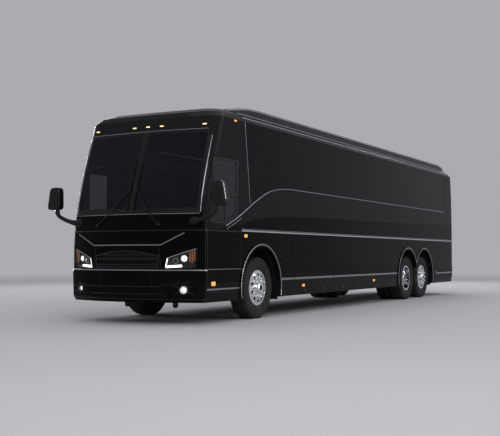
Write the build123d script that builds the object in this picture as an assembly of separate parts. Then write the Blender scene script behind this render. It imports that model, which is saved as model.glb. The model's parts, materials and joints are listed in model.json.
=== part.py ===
from build123d import *
import math
import os

# Three-axle intercity coach with a raised passenger floor and luggage bays below it.
# Frame: +X forward, +Y to the driver's side (left), +Z up, millimetres.
# The origin is on the ground, midway along and across the vehicle.

os.makedirs("parts", exist_ok=True)

# ---------------------------------------------------------------- overall
OVERALL_LENGTH = 14230.0
HALF_WIDTH = 1295.0
FRONT_OVERHANG = 2220.0
WHEELBASE = 7850.0
TANDEM_PITCH = 1300.0

# ---------------------------------------------------------------- heights
SKIRT_BOTTOM = 350.0
BUMPER_TOP = 840.0
CREASE_Z = 1245.0
BELT_Z = 1473.0
COWL_TOP = 1775.0
WINDSHIELD_BASE = 1765.0
WINDSHIELD_TOP = 3100.0
SIDE_GLASS_BOTTOM = 2305.0
SIDE_GLASS_TOP = 3315.0
SIDE_WALL_TOP = 3330.0
ROOF_Z = 3520.0
FAIRING_TOP = 3640.0
DECK_TOP = 1450.0
DECK_THICKNESS = 60.0
CAB_FLOOR_TOP = 1040.0
CAB_FLOOR_THICKNESS = 40.0

# ---------------------------------------------------------------- walls, seats and gaps
WALL = 50.0
ROOF_WALL = 60.0
GLASS = 8.0
GLASS_LAP = 30.0
SEAT_GAP = 0.3
PANEL_GAP = 6.0
HINGE_GAP = 9.0
HINGE_PIN_R = 6.0
HINGE_INSET = 4.0
LAMP_PROUD = 14.0

# ---------------------------------------------------------------- plan form
REAR_CORNER_R = 230.0

# ---------------------------------------------------------------- running gear
TYRE_R = 530.0
TYRE_WIDTH = 315.0
BEAD_R = 286.0
BEAD_HALF = 118.0
FLANGE_R = 303.0
FLANGE_HALF = 130.0
RIM_WALL = 16.0
SINGLE_WHEEL_Y = 1085.0
OUTER_DUAL_Y = 1112.5
DUAL_PITCH = 350.0
HUB_R = 105.0
SPINDLE_R = 50.0
JOURNAL_CLEARANCE = 0.05
NUT_R = 19.0
NUT_HEIGHT = 30.0
NUT_CIRCLE_R = 167.5
NUT_COUNT = 10
HAND_HOLE_R = 28.0
HAND_HOLE_CIRCLE_R = 222.0
HAND_HOLE_COUNT = 10
KINGPIN_INBOARD = 182.0
KINGPIN_R = 25.0
ARCH_R = 700.0
FLARE_R = 757.0
FLARE_PROUD = 18.0
RAIL_INNER_Y = 430.0
RAIL_OUTER_Y = 520.0
RAIL_BOTTOM = 700.0
RAIL_TOP = 1000.0

# ---------------------------------------------------------------- places along the vehicle
NOSE_X = OVERALL_LENGTH / 2
TAIL_X = -OVERALL_LENGTH / 2
FRONT_AXLE_X = NOSE_X - FRONT_OVERHANG
DRIVE_AXLE_X = FRONT_AXLE_X - WHEELBASE
TAG_AXLE_X = DRIVE_AXLE_X - TANDEM_PITCH

CAB_SEAM_X = FRONT_AXLE_X + 600.0
FASCIA_SEAM_X = FRONT_AXLE_X + 1810.0
REAR_SEAM_X = TAIL_X + REAR_CORNER_R
BAY_EDGES = [FRONT_AXLE_X - ahead for ahead in (1300.0, 3150.0, 5040.0, 7050.0)]
WINDOW_EDGES = [FRONT_AXLE_X - back for back in (-450.0, 1110.0, 3040.0, 4960.0, 6900.0, 8980.0, 11010.0)]
DOOR_REAR_X = FRONT_AXLE_X + 850.0
DOOR_FRONT_X = FRONT_AXLE_X + 1620.0
DOOR_TOP = 2620.0
SIDE_DOOR_FRONT_X = FRONT_AXLE_X - 10300.0
SIDE_DOOR_REAR_X = FRONT_AXLE_X - 11690.0
SIDE_DOOR_BOTTOM = 640.0
ENGINE_DOOR_BOTTOM = 806.0
ENGINE_DOOR_TOP = 1750.0
ENGINE_DOOR_HALF = 850.0
WELL_WALL_X = FRONT_AXLE_X + 670.0

# height, nose setback, tail setback, half width, front corner radius, radius of the nose's bow
BODY_SECTIONS = [
    (SKIRT_BOTTOM, 75.0, 60.0, 1280.0, 150.0, 2800.0),
    (BUMPER_TOP, 25.0, 30.0, HALF_WIDTH, 150.0, 2800.0),
    (CREASE_Z, 25.0, 30.0, HALF_WIDTH, 150.0, 2800.0),
    (1540.0, 95.0, 30.0, HALF_WIDTH, 150.0, 3300.0),
    (COWL_TOP, 180.0, 30.0, HALF_WIDTH, 150.0, 4200.0),
    (2000.0, 235.0, 30.0, 1293.0, 150.0, 4800.0),
    (2270.0, 325.0, 30.0, 1290.0, 155.0, 5500.0),
    (2520.0, 420.0, 30.0, 1287.0, 160.0, 6500.0),
    (2760.0, 515.0, 35.0, 1284.0, 170.0, 8000.0),
    (3060.0, 630.0, 50.0, 1279.0, 190.0, 10000.0),
    (SIDE_WALL_TOP, 720.0, 80.0, 1274.0, 210.0, 12000.0),
    (3420.0, 810.0, 130.0, 1200.0, 240.0, 12000.0),
    (3490.0, 990.0, 260.0, 1110.0, 300.0, 12000.0),
    (ROOF_Z, 1320.0, 500.0, 940.0, 320.0, 12000.0),
]
BUMPER_SECTIONS = [
    (SKIRT_BOTTOM, 65.0, 60.0, 1280.0, 150.0, 2800.0),
    (430.0, 12.0, 0.0, 1284.0, 150.0, 2800.0),
    (BUMPER_TOP, 0.0, 0.0, HALF_WIDTH, 150.0, 2800.0),
]

# ---------------------------------------------------------------- reach of cutting blocks
OUTSIDE_Y = 1400.0
INSIDE_Y = 1150.0
CABIN_Y = 900.0


# ---------------------------------------------------------------- helpers
def block(x0, x1, y0, y1, z0, z1):
    """Box between two corners."""
    lows = [min(a, b) for a, b in ((x0, x1), (y0, y1), (z0, z1))]
    size = [abs(b - a) for a, b in ((x0, x1), (y0, y1), (z0, z1))]
    return Pos(*lows) * Box(*size, align=(Align.MIN, Align.MIN, Align.MIN))


def rod(start, end, radius):
    """Round bar from one point to another."""
    a, b = Vector(*start), Vector(*end)
    return Plane(origin=a, z_dir=b - a) * Cylinder(
        radius, (b - a).length, align=(Align.CENTER, Align.CENTER, Align.MIN))


def disc_y(x, z, radius, y0, y1):
    """Cylinder whose axis runs along Y."""
    return rod((x, min(y0, y1), z), (x, max(y0, y1), z), radius)


def prism_x(points_yz, x0, x1, grow=0.0):
    """Outline in the Y-Z plane, grown or shrunk all round and extruded along X."""
    face = make_face(Polyline(*[(min(x0, x1), y, z) for y, z in points_yz], close=True))
    if grow:
        face = offset(face, amount=grow, kind=Kind.INTERSECTION)
    return extrude(face, amount=abs(x1 - x0), dir=(1, 0, 0))


def outline_y(points_xz, grow=0.0):
    """Flat outline in the X-Z plane, grown or shrunk all round."""
    face = make_face(Polyline(*[(x, 0, z) for x, z in points_xz], close=True))
    return offset(face, amount=grow, kind=Kind.INTERSECTION) if grow else face


def prism_y(points_xz, y0, y1, grow=0.0):
    """Outline in the X-Z plane, extruded along Y."""
    face = Pos(0, min(y0, y1), 0) * outline_y(points_xz, grow)
    return extrude(face, amount=abs(y1 - y0), dir=(0, 1, 0))


def ring_y(points_yr, x, z):
    """Outline of distance along Y against radius, turned about an axis along Y at x, z."""
    face = make_face(Polyline(*[(x + r, y, z) for y, r in points_yr], close=True))
    return revolve(face, Axis((x, 0, z), (0, 1, 0)), 360)


def on_side(shape, side):
    """The left-hand shape, or its mirror image when side is -1."""
    return shape if side > 0 else mirror(shape, about=Plane.XZ)


def save(node, *shapes):
    """Writes one node made of one or more solids."""
    solids = [solid for shape in shapes for solid in shape.solids()]
    part = Compound(children=solids) if len(solids) > 1 else solids[0]
    export_step(part, f"parts/{node}.step")


# ---------------------------------------------------------------- body form
def section_at(z, sections=BODY_SECTIONS):
    """Nose setback, tail setback, half width, corner radius and bow radius at any height."""
    if z <= sections[0][0]:
        return sections[0][1:]
    for low, high in zip(sections, sections[1:]):
        if z <= high[0]:
            t = (z - low[0]) / (high[0] - low[0])
            return tuple(a + (b - a) * t for a, b in zip(low[1:], high[1:]))
    return sections[-1][1:]


def plan_outline(z, section, inset):
    """Closed plan outline: bowed nose, four rounded corners, straight sides and tail."""
    nose_setback, tail_setback, half_width, corner_r, bow_r = section
    half = half_width - inset
    r = corner_r - inset
    bow = bow_r - inset
    rear_r = REAR_CORNER_R - inset
    nose = NOSE_X - nose_setback - inset
    tail = TAIL_X + tail_setback + inset
    bow_x = nose - bow
    corner_x = bow_x + math.sqrt((bow - r) ** 2 - (half - r) ** 2)
    turn = math.atan2(half - r, corner_x - bow_x)
    touch = (bow_x + bow * math.cos(turn), bow * math.sin(turn))
    middle = (turn + math.pi / 2) / 2
    bend = (corner_x + r * math.cos(middle), half - r + r * math.sin(middle))
    cut = rear_r * (1 - math.sqrt(0.5))
    rear = half - rear_r
    edges = [
        Edge.make_line((tail + rear_r, -half, z), (corner_x, -half, z)),
        Edge.make_three_point_arc((corner_x, -half, z), (bend[0], -bend[1], z), (touch[0], -touch[1], z)),
        Edge.make_three_point_arc((touch[0], -touch[1], z), (nose, 0, z), (touch[0], touch[1], z)),
        Edge.make_three_point_arc((touch[0], touch[1], z), (bend[0], bend[1], z), (corner_x, half, z)),
        Edge.make_line((corner_x, half, z), (tail + rear_r, half, z)),
        Edge.make_three_point_arc((tail + rear_r, half, z), (tail + cut, half - cut, z), (tail, rear, z)),
        Edge.make_line((tail, rear, z), (tail, -rear, z)),
        Edge.make_three_point_arc((tail, -rear, z), (tail + cut, cut - half, z), (tail + rear_r, -half, z)),
    ]
    return Wire(edges)


def form(inset, roof_inset=None, sections=BODY_SECTIONS, below=0.0):
    """Solid body form moved inwards all round, its roof by its own amount."""
    roof_inset = inset if roof_inset is None else roof_inset
    outlines = []
    for z, *section in sections:
        height = z - below if z == SKIRT_BOTTOM else z
        height -= roof_inset if z > SIDE_WALL_TOP else 0.0
        outlines.append(plan_outline(height, section, inset))
    return Solid.make_loft(outlines, ruled=True)


def front_x(y, z):
    """Where the outer skin lies at the nose, ahead of the corners."""
    setback, *_, bow_r = section_at(z)
    return NOSE_X - setback - (bow_r - math.sqrt(bow_r ** 2 - y ** 2))


outer_form = form(0.0)
inner_form = form(WALL, ROOF_WALL, below=50.0)
glass_form = form(GLASS)
trim_form = form(-LAMP_PROUD, below=20.0)
clear_form = form(-SEAT_GAP, below=20.0)
cabin_form = form(WALL + SEAT_GAP, ROOF_WALL + SEAT_GAP, below=20.0)
shell = outer_form - inner_form
bumper_shell = form(0.0, sections=BUMPER_SECTIONS) - form(WALL, sections=BUMPER_SECTIONS, below=50.0)

front_shell = shell & block(CAB_SEAM_X, NOSE_X + 10, -OUTSIDE_Y, OUTSIDE_Y, SKIRT_BOTTOM, ROOF_Z + 10)
middle_shell = shell & block(REAR_SEAM_X, CAB_SEAM_X, -OUTSIDE_Y, OUTSIDE_Y, SKIRT_BOTTOM, ROOF_Z + 10)
rear_shell = shell & block(TAIL_X - 10, REAR_SEAM_X, -OUTSIDE_Y, OUTSIDE_Y, SKIRT_BOTTOM, ROOF_Z + 10)


# ---------------------------------------------------------------- side markers and louvres
SIDE_MARKER_SIZE = (90.0, 34.0)
# number of the luggage-bay door, X and height of its marker
DOOR_MARKERS = ((1, FRONT_AXLE_X - 1690.0, 525.0), (3, FRONT_AXLE_X - 5430.0, 530.0))
LOUVRE_PITCH = 46.0
LOUVRE_HEIGHT = 16.0
LOUVRE_COUNT = 9
LOUVRE_FIRST_Z = 990.0
LOUVRE_END = 120.0
LOUVRE_PROUD = 7.0
lamp_skin = trim_form - clear_form
lamp_boss = trim_form - glass_form
louvre_skin = form(-LOUVRE_PROUD, below=20.0) - glass_form


def marker_place(x, z, side):
    """Space that a side marker fills."""
    long, tall = SIDE_MARKER_SIZE
    return block(x - long / 2, x + long / 2, side * INSIDE_Y, side * OUTSIDE_Y, z - tall / 2, z + tall / 2)


def louvres(x0, x1, side):
    """Raised slats across the upper part of a rear side door."""
    slats = []
    for n in range(LOUVRE_COUNT):
        z = LOUVRE_FIRST_Z + n * LOUVRE_PITCH
        slats.append(louvre_skin & block(x0 + LOUVRE_END, x1 - LOUVRE_END, side * INSIDE_Y, side * OUTSIDE_Y,
                                         z, z + LOUVRE_HEIGHT))
    return slats


# ---------------------------------------------------------------- hinges
def side_hinge(x0, x1, radius, side):
    """Hinge pin along X under the belt line, at the outer face."""
    z = BELT_Z - HINGE_GAP + HINGE_INSET
    return rod((x0, side * HALF_WIDTH, z), (x1, side * HALF_WIDTH, z), radius)


def entry_hinge(z0, z1, radius):
    """Upright hinge pin ahead of the entry door, at the outer face."""
    x = DOOR_FRONT_X + HINGE_INSET
    return rod((x, -HALF_WIDTH, z0), (x, -HALF_WIDTH, z1), radius)


def engine_hinge(half, radius):
    """Hinge pin across the tail above the engine door, at the outer face."""
    x = TAIL_X + section_at(ENGINE_DOOR_TOP)[1]
    z = ENGINE_DOOR_TOP + HINGE_INSET
    return rod((x, -half, z), (x, half, z), radius)


GROOVE_R = HINGE_PIN_R + SEAT_GAP
DOOR_TOP_EDGE = BELT_Z - HINGE_GAP
HINGE_END = 60.0


def side_opening(x0, x1, z0, side):
    """Hole that a side door shuts, from its lower edge to the belt line."""
    return block(x0 - PANEL_GAP, x1 + PANEL_GAP, side * INSIDE_Y, side * OUTSIDE_Y, z0 - PANEL_GAP, BELT_Z)


def side_door(x0, x1, z0, side):
    """Top-hinged door in the lower side, as thick as the wall."""
    region = block(x0, x1, side * INSIDE_Y, side * OUTSIDE_Y, z0, DOOR_TOP_EDGE)
    return (middle_shell & region) - side_hinge(x0 - 1, x1 + 1, GROOVE_R, side)


def side_pins(side):
    """Hinge pins of all the side doors, which hang from the upper wall."""
    spans = [(rear + PANEL_GAP, front - PANEL_GAP) for front, rear in zip(BAY_EDGES, BAY_EDGES[1:])]
    spans.append((SIDE_DOOR_REAR_X, SIDE_DOOR_FRONT_X))
    return [side_hinge(x0 + HINGE_END, x1 - HINGE_END, HINGE_PIN_R, side) for x0, x1 in spans]


# ---------------------------------------------------------------- window outlines
def window_outlines():
    """Side panes from front to back; the first one's foot follows the rising swoosh."""
    half_seam = 8.0
    f = FRONT_AXLE_X
    first = [(WINDOW_EDGES[1] + half_seam, SIDE_GLASS_BOTTOM), (f - 690, 2285), (f - 280, 2215), (f + 170, 2035),
             (f + 400, 1925), (f + 545, SIDE_GLASS_TOP), (WINDOW_EDGES[1] + half_seam, SIDE_GLASS_TOP)]
    panes = [first]
    for front, rear in zip(WINDOW_EDGES[1:], WINDOW_EDGES[2:]):
        x0, x1 = rear + half_seam, front - half_seam
        panes.append([(x0, SIDE_GLASS_BOTTOM), (x1, SIDE_GLASS_BOTTOM), (x1, SIDE_GLASS_TOP), (x0, SIDE_GLASS_TOP)])
    return panes


DRIVER_WINDOW = [(FRONT_AXLE_X + x, z) for x, z in
                 ((800.0, 2630.0), (870.0, 1745.0), (1250.0, 1600.0), (1725.0, 1615.0), (1570.0, 2630.0))]
DOOR_GLASS = [(DOOR_REAR_X + 90, 700.0), (DOOR_FRONT_X - 90, 700.0),
              (DOOR_FRONT_X - 90, DOOR_TOP - 110), (DOOR_REAR_X + 90, DOOR_TOP - 110)]
WINDSHIELD_HALF = [(12.0, WINDSHIELD_BASE), (1190.0, WINDSHIELD_BASE - 20), (1195.0, WINDSHIELD_TOP - 90),
                   (1150.0, WINDSHIELD_TOP - 10), (12.0, WINDSHIELD_TOP)]
REAR_WINDOW = [(-820.0, 2350.0), (820.0, 2350.0), (780.0, 3000.0), (-780.0, 3000.0)]


def glaze_side(wall, outline, side):
    """Cuts a pane's rebate and the hole inside it, and returns the wall and the pane."""
    near, far = side * CABIN_Y, side * OUTSIDE_Y
    wall = wall - prism_y(outline, near, far, -GLASS_LAP)
    wall = wall - (prism_y(outline, near, far) - glass_form)
    pane = (outer_form - form(GLASS - SEAT_GAP)) & prism_y(outline, near, far, -SEAT_GAP)
    return wall, pane


def glaze_end(wall, outline, x0, x1):
    """The same for a pane in the nose or tail, from an outline of Y against Z."""
    wall = wall - prism_x(outline, x0, x1, -GLASS_LAP)
    wall = wall - (prism_x(outline, x0, x1) - glass_form)
    pane = (outer_form - form(GLASS - SEAT_GAP)) & prism_x(outline, x0, x1, -SEAT_GAP)
    return wall, pane


# ---------------------------------------------------------------- wheel arches
def arch_cut(centres, radius, side):
    """Round wheel openings through one side wall."""
    cut = disc_y(centres[0], TYRE_R, radius, side * INSIDE_Y, side * OUTSIDE_Y)
    for x in centres[1:]:
        cut = cut + disc_y(x, TYRE_R, radius, side * INSIDE_Y, side * OUTSIDE_Y)
    return cut


def flare(centres, side):
    """Raised lip round the wheel openings."""
    lip = arch_cut(centres, FLARE_R, side) - arch_cut(centres, ARCH_R, side)
    slab = block(TAIL_X, NOSE_X, side * (HALF_WIDTH - 40), side * (HALF_WIDTH + FLARE_PROUD), SKIRT_BOTTOM, BELT_Z)
    return lip & slab


# ---------------------------------------------------------------- body panels
def lower_side(side):
    """Skirt and arch panels ahead of and behind the luggage bays."""
    front = (front_shell + middle_shell) & block(
        BAY_EDGES[0], FASCIA_SEAM_X, side * 1000, side * OUTSIDE_Y, SKIRT_BOTTOM, BELT_Z)
    front = front + flare([FRONT_AXLE_X], side) - arch_cut([FRONT_AXLE_X], ARCH_R, side)
    rear = middle_shell & block(REAR_SEAM_X, BAY_EDGES[-1], side * 1000, side * OUTSIDE_Y, SKIRT_BOTTOM, BELT_Z)
    tandem = [DRIVE_AXLE_X, TAG_AXLE_X]
    rear = rear + flare(tandem, side) - arch_cut(tandem, ARCH_R, side)
    rear = rear - side_opening(SIDE_DOOR_REAR_X, SIDE_DOOR_FRONT_X, SIDE_DOOR_BOTTOM, side)
    if side < 0:
        front = front - entry_opening() + entry_hinge(500, 1400, HINGE_PIN_R)
    return front, rear


def entry_opening():
    """Hole that the entry door shuts."""
    return block(DOOR_REAR_X - PANEL_GAP, DOOR_FRONT_X + HINGE_GAP, -OUTSIDE_Y, -INSIDE_Y, 0, DOOR_TOP + PANEL_GAP)


def upper_side(side):
    """Wall above the belt line with its windows cut, and its panes."""
    wall = middle_shell & block(REAR_SEAM_X, CAB_SEAM_X, side * 1000, side * OUTSIDE_Y, BELT_Z, SIDE_WALL_TOP)
    panes = []
    for outline in window_outlines():
        wall, pane = glaze_side(wall, outline, side)
        panes.append(pane)
    rail = block(REAR_SEAM_X, CAB_SEAM_X, side * (HALF_WIDTH - 20), side * (HALF_WIDTH + 12), BELT_Z + 2, BELT_Z + 34)
    wall = wall + rail
    for pin in side_pins(side):
        wall = wall + pin
    return wall, panes


left_front, left_rear = lower_side(1)
save("left_lower_side", left_front, left_rear)
right_front, right_rear = lower_side(-1)
save("right_lower_side", right_front, right_rear)
left_wall, left_panes = upper_side(1)
save("left_upper_side", left_wall)
right_wall, right_panes = upper_side(-1)
save("right_upper_side", right_wall)
save("right_side_glass", *right_panes)

cap = front_shell & block(CAB_SEAM_X, NOSE_X, -OUTSIDE_Y, OUTSIDE_Y, BELT_Z, ROOF_Z + 10)
cap, driver_pane = glaze_side(cap, DRIVER_WINDOW, 1)
cap = cap - entry_opening()
screens = []
for side in (1, -1):
    half = [(side * y, z) for y, z in WINDSHIELD_HALF]
    cap, screen = glaze_end(cap, half, FRONT_AXLE_X + 900, NOSE_X + 20)
    screens.append(screen)
save("front_cap", cap)
save("windshield", *screens)
save("left_side_glass", driver_pane, *left_panes)

ROOF_HATCH = (700.0, 600.0, 40.0)  # length, width, height
roof = middle_shell & block(REAR_SEAM_X, CAB_SEAM_X, -OUTSIDE_Y, OUTSIDE_Y, SIDE_WALL_TOP, ROOF_Z + 10)
for x in (FRONT_AXLE_X - 2500, FRONT_AXLE_X - 8800):
    roof = roof + block(x - ROOF_HATCH[0] / 2, x + ROOF_HATCH[0] / 2, -ROOF_HATCH[1] / 2, ROOF_HATCH[1] / 2,
                        ROOF_Z - 5, ROOF_Z + ROOF_HATCH[2])
save("roof_panel", roof)

FAIRING_Y = (1000.0, 1085.0)
FAIRING_PROFILE = [(FRONT_AXLE_X + x, z) for x, z in
                   ((1240.0, 3395.0), (1110.0, 3450.0), (850.0, 3515.0), (400.0, 3590.0), (100.0, 3625.0),
                    (-300.0, FAIRING_TOP), (-11100.0, FAIRING_TOP), (-11400.0, 3615.0), (-11650.0, 3540.0),
                    (-11760.0, 3440.0), (-11400.0, 3400.0), (900.0, 3400.0))]
fairings = [prism_y(FAIRING_PROFILE, side * FAIRING_Y[0], side * FAIRING_Y[1]) - clear_form for side in (1, -1)]
save("roof_fairings", *fairings)

tail = rear_shell & block(TAIL_X - 10, REAR_SEAM_X, -OUTSIDE_Y, OUTSIDE_Y, ENGINE_DOOR_BOTTOM - PANEL_GAP, ROOF_Z + 10)
tail, rear_pane = glaze_end(tail, REAR_WINDOW, TAIL_X - 20, REAR_SEAM_X)
engine_hole = block(TAIL_X - 20, TAIL_X + 150, -ENGINE_DOOR_HALF - PANEL_GAP, ENGINE_DOOR_HALF + PANEL_GAP,
                    0, ENGINE_DOOR_TOP + HINGE_GAP)
tail = tail - engine_hole + engine_hinge(ENGINE_DOOR_HALF - HINGE_END, HINGE_PIN_R)
save("rear_cap", tail)
save("rear_window", rear_pane)
engine_door = rear_shell & block(TAIL_X - 10, TAIL_X + 150, -ENGINE_DOOR_HALF, ENGINE_DOOR_HALF,
                                 ENGINE_DOOR_BOTTOM, ENGINE_DOOR_TOP)
save("engine_door", engine_door - engine_hinge(ENGINE_DOOR_HALF + 1, GROOVE_R))
REAR_BUMPER_BOTTOM = 480.0
save("rear_bumper", bumper_shell & block(TAIL_X - 10, REAR_SEAM_X, -OUTSIDE_Y, OUTSIDE_Y, REAR_BUMPER_BOTTOM,
                                         ENGINE_DOOR_BOTTOM - PANEL_GAP))

for side, name in ((1, "left"), (-1, "right")):
    for number, (front, rear) in enumerate(zip(BAY_EDGES, BAY_EDGES[1:]), start=1):
        bay_door = side_door(rear + PANEL_GAP / 2, front - PANEL_GAP / 2, SKIRT_BOTTOM, side)
        for marked, x, z in DOOR_MARKERS:
            if marked == number:
                bay_door = bay_door + (lamp_boss & marker_place(x, z, side))
        save(f"{name}_bay_door_{number}", bay_door)
    rear_door = side_door(SIDE_DOOR_REAR_X, SIDE_DOOR_FRONT_X, SIDE_DOOR_BOTTOM, side)
    for slat in louvres(SIDE_DOOR_REAR_X, SIDE_DOOR_FRONT_X, side):
        rear_door = rear_door + slat
    save(f"{name}_rear_door", rear_door)

door = front_shell & block(DOOR_REAR_X, DOOR_FRONT_X, -OUTSIDE_Y, -INSIDE_Y, SKIRT_BOTTOM + 20, DOOR_TOP)
door = door - entry_hinge(SKIRT_BOTTOM, DOOR_TOP, GROOVE_R)
door, door_pane = glaze_side(door, DOOR_GLASS, -1)
save("entry_door", door)
save("entry_door_glass", door_pane)

# ---------------------------------------------------------------- nose: fascia, grille, bumper, front lamps
HEADLAMP = [(695.0, 880.0), (735.0, 1048.0), (980.0, 1138.0), (1192.0, 1200.0), (1165.0, 880.0)]
GRILLE = [(-610.0, 885.0), (610.0, 885.0), (610.0, 1088.0), (300.0, 1148.0), (0.0, 1166.0), (-300.0, 1148.0),
          (-610.0, 1088.0)]
GRILLE_BARS = (940.0, 1030.0, 1095.0)
GRILLE_BAR_HEIGHT = 22.0
GRILLE_FRAME = 26.0
GRILLE_DEPTH = 30.0
FOG_Y = 1000.0
FOG_Z = 550.0
FOG_R = 70.0
LAMP_REAR_X = FASCIA_SEAM_X + 30.0
NOSE_CLEAR_X = NOSE_X + 20.0

fascia = front_shell & block(FASCIA_SEAM_X, NOSE_X, -OUTSIDE_Y, OUTSIDE_Y, BUMPER_TOP, BELT_Z)
lamps = []
for side in (1, -1):
    outline = [(side * y, z) for y, z in HEADLAMP]
    fascia = fascia - prism_x(outline, LAMP_REAR_X, NOSE_CLEAR_X)
    lamps.append(front_shell & prism_x(outline, LAMP_REAR_X, NOSE_CLEAR_X, -SEAT_GAP))
fascia = fascia - prism_x(GRILLE, FASCIA_SEAM_X, NOSE_CLEAR_X)
save("front_fascia", fascia)

grille_skin = outer_form - form(GRILLE_DEPTH, below=50.0)
grille = grille_skin & prism_x(GRILLE, FASCIA_SEAM_X, NOSE_CLEAR_X, -SEAT_GAP)
gaps = prism_x(GRILLE, FASCIA_SEAM_X, NOSE_CLEAR_X, -GRILLE_FRAME)
for z in GRILLE_BARS:
    gaps = gaps - block(FASCIA_SEAM_X - 10, NOSE_CLEAR_X + 10, -OUTSIDE_Y, OUTSIDE_Y,
                        z - GRILLE_BAR_HEIGHT / 2, z + GRILLE_BAR_HEIGHT / 2)
save("grille", grille - gaps)

bumper = bumper_shell & block(FASCIA_SEAM_X, NOSE_X + 10, -OUTSIDE_Y, OUTSIDE_Y, SKIRT_BOTTOM, BUMPER_TOP)
for side in (1, -1):
    reach = ((FASCIA_SEAM_X, side * FOG_Y, FOG_Z), (NOSE_CLEAR_X, side * FOG_Y, FOG_Z))
    bumper = bumper - rod(*reach, FOG_R)
    lamps.append(bumper_shell & rod(*reach, FOG_R - SEAT_GAP))
save("front_bumper", bumper)
save("front_lamps", *lamps)

# place across and height of each clearance lamp on the cap
CAP_LAMPS = ((0.0, 3195.0), (270.0, 3192.0), (-270.0, 3192.0), (1060.0, 3185.0), (-1060.0, 3185.0))
CAP_LAMP_SIZE = (110.0, 34.0)
# X, height and side of each marker fixed to the body
SIDE_MARKERS = ((FRONT_AXLE_X + 570.0, 1410.0, 1), (FRONT_AXLE_X + 570.0, 1410.0, -1),
                (FRONT_AXLE_X + 890.0, 3300.0, 1), (FRONT_AXLE_X + 890.0, 3300.0, -1),
                (FRONT_AXLE_X + 1620.0, 640.0, 1))
markers = []
for y, z in CAP_LAMPS:
    markers.append(lamp_skin & block(FRONT_AXLE_X + 900, NOSE_X, y - CAP_LAMP_SIZE[0] / 2, y + CAP_LAMP_SIZE[0] / 2,
                                     z - CAP_LAMP_SIZE[1] / 2, z + CAP_LAMP_SIZE[1] / 2))
for x, z, side in SIDE_MARKERS:
    markers.append(lamp_skin & marker_place(x, z, side))
save("marker_lamps", *markers)

TAIL_LAMP = (960.0, 1180.0, 900.0, 1500.0)  # inner and outer Y, bottom and top Z
tail_lamps = []
for side in (1, -1):
    tail_lamps.append(lamp_skin & block(TAIL_X - 20, REAR_SEAM_X, side * TAIL_LAMP[0], side * TAIL_LAMP[1],
                                        TAIL_LAMP[2], TAIL_LAMP[3]))
save("tail_lamps", *tail_lamps)

# ---------------------------------------------------------------- mirrors and wipers
MIRROR_X = (FRONT_AXLE_X + 1895.0, FRONT_AXLE_X + 2015.0)
MIRROR_ARM_X = (FRONT_AXLE_X + 1920.0, FRONT_AXLE_X + 1990.0)
MIRROR_FOOT = (FRONT_AXLE_X + 1835.0, FRONT_AXLE_X + 1990.0, 1110.0, 1245.0, 1545.0, 1692.0)  # X, Y and Z spans
MIRROR_ROUND = 14.0
MIRROR_ARM_ROUND = 12.0
# Y and Z of the head with its foot housing, and of the arm from the body up into that housing
MIRROR_HEAD = ((1478.0, 1845.0), (1740.0, 1845.0), (1740.0, 1935.0), (1722.0, 1950.0), (1692.0, 2180.0),
               (1655.0, 2228.0), (1515.0, 2228.0), (1490.0, 2190.0), (1478.0, 1940.0))
MIRROR_ARM = ((1130.0, 1530.0), (1265.0, 1560.0), (1570.0, 1700.0), (1612.0, 1745.0), (1612.0, 1870.0),
              (1505.0, 1870.0), (1505.0, 1768.0), (1245.0, 1695.0), (1130.0, 1705.0))


def mirror_piece(outline, span, side, round_r):
    """Outline of Y against Z with both its ends rounded over."""
    solid = prism_x([(side * y, z) for y, z in outline], *span)
    rims = [edge for face in solid.faces().sort_by(Axis.X)[::len(outline) + 1] for edge in face.edges()]
    return fillet(rims, round_r)


mirror_shapes = []
for side in (1, -1):
    head = mirror_piece(MIRROR_HEAD, MIRROR_X, side, MIRROR_ROUND)
    arm = mirror_piece(MIRROR_ARM, MIRROR_ARM_X, side, MIRROR_ARM_ROUND)
    x0, x1, y0, y1, z0, z1 = MIRROR_FOOT
    foot = block(x0, x1, side * y0, side * y1, z0, z1)
    foot = fillet(foot.edges().filter_by(Axis.Z), MIRROR_ARM_ROUND)
    mirror_shapes.append((head + arm + foot) - clear_form)
save("mirrors", *mirror_shapes)

# foot, elbow and tip of each wiper arm, as Y and Z
WIPERS = (((580.0, 1560.0), (375.0, 1750.0), (48.0, 2150.0)), ((-625.0, 1560.0), (-375.0, 1785.0), (-52.0, 2150.0)))
WIPER_STANDOFF = 30.0
WIPER_R = 9.0
WIPER_STUB_R = 22.0
wipers = []
for places in WIPERS:
    foot, elbow, tip = [(front_x(y, z) + WIPER_STANDOFF, y, z) for y, z in places]
    stub = rod((foot[0] - 80, *foot[1:]), (foot[0] + WIPER_R, *foot[1:]), WIPER_STUB_R) - clear_form
    wipers.append(stub + rod(foot, elbow, WIPER_R) + Pos(*elbow) * Sphere(WIPER_R) + rod(elbow, tip, WIPER_R))
save("wipers", *wipers)

# ---------------------------------------------------------------- floors and luggage bays
STEP_TREADS = ((-1222.0, 420.0), (-1015.0, 626.0), (-788.0, 833.0), (-560.0, CAB_FLOOR_TOP))  # Y and height
STEP_THICKNESS = 30.0
STEP_WALL = 20.0
STEP_REAR_X = DOOR_REAR_X - 30.0
STEP_FRONT_X = DOOR_FRONT_X + 20.0
AISLE_HALF = 210.0
BAY_HALF = 1222.0
BAY_FLOOR = (400.0, 440.0)
BULKHEAD = 40.0
DECK_BOTTOM = DECK_TOP - DECK_THICKNESS

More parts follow.
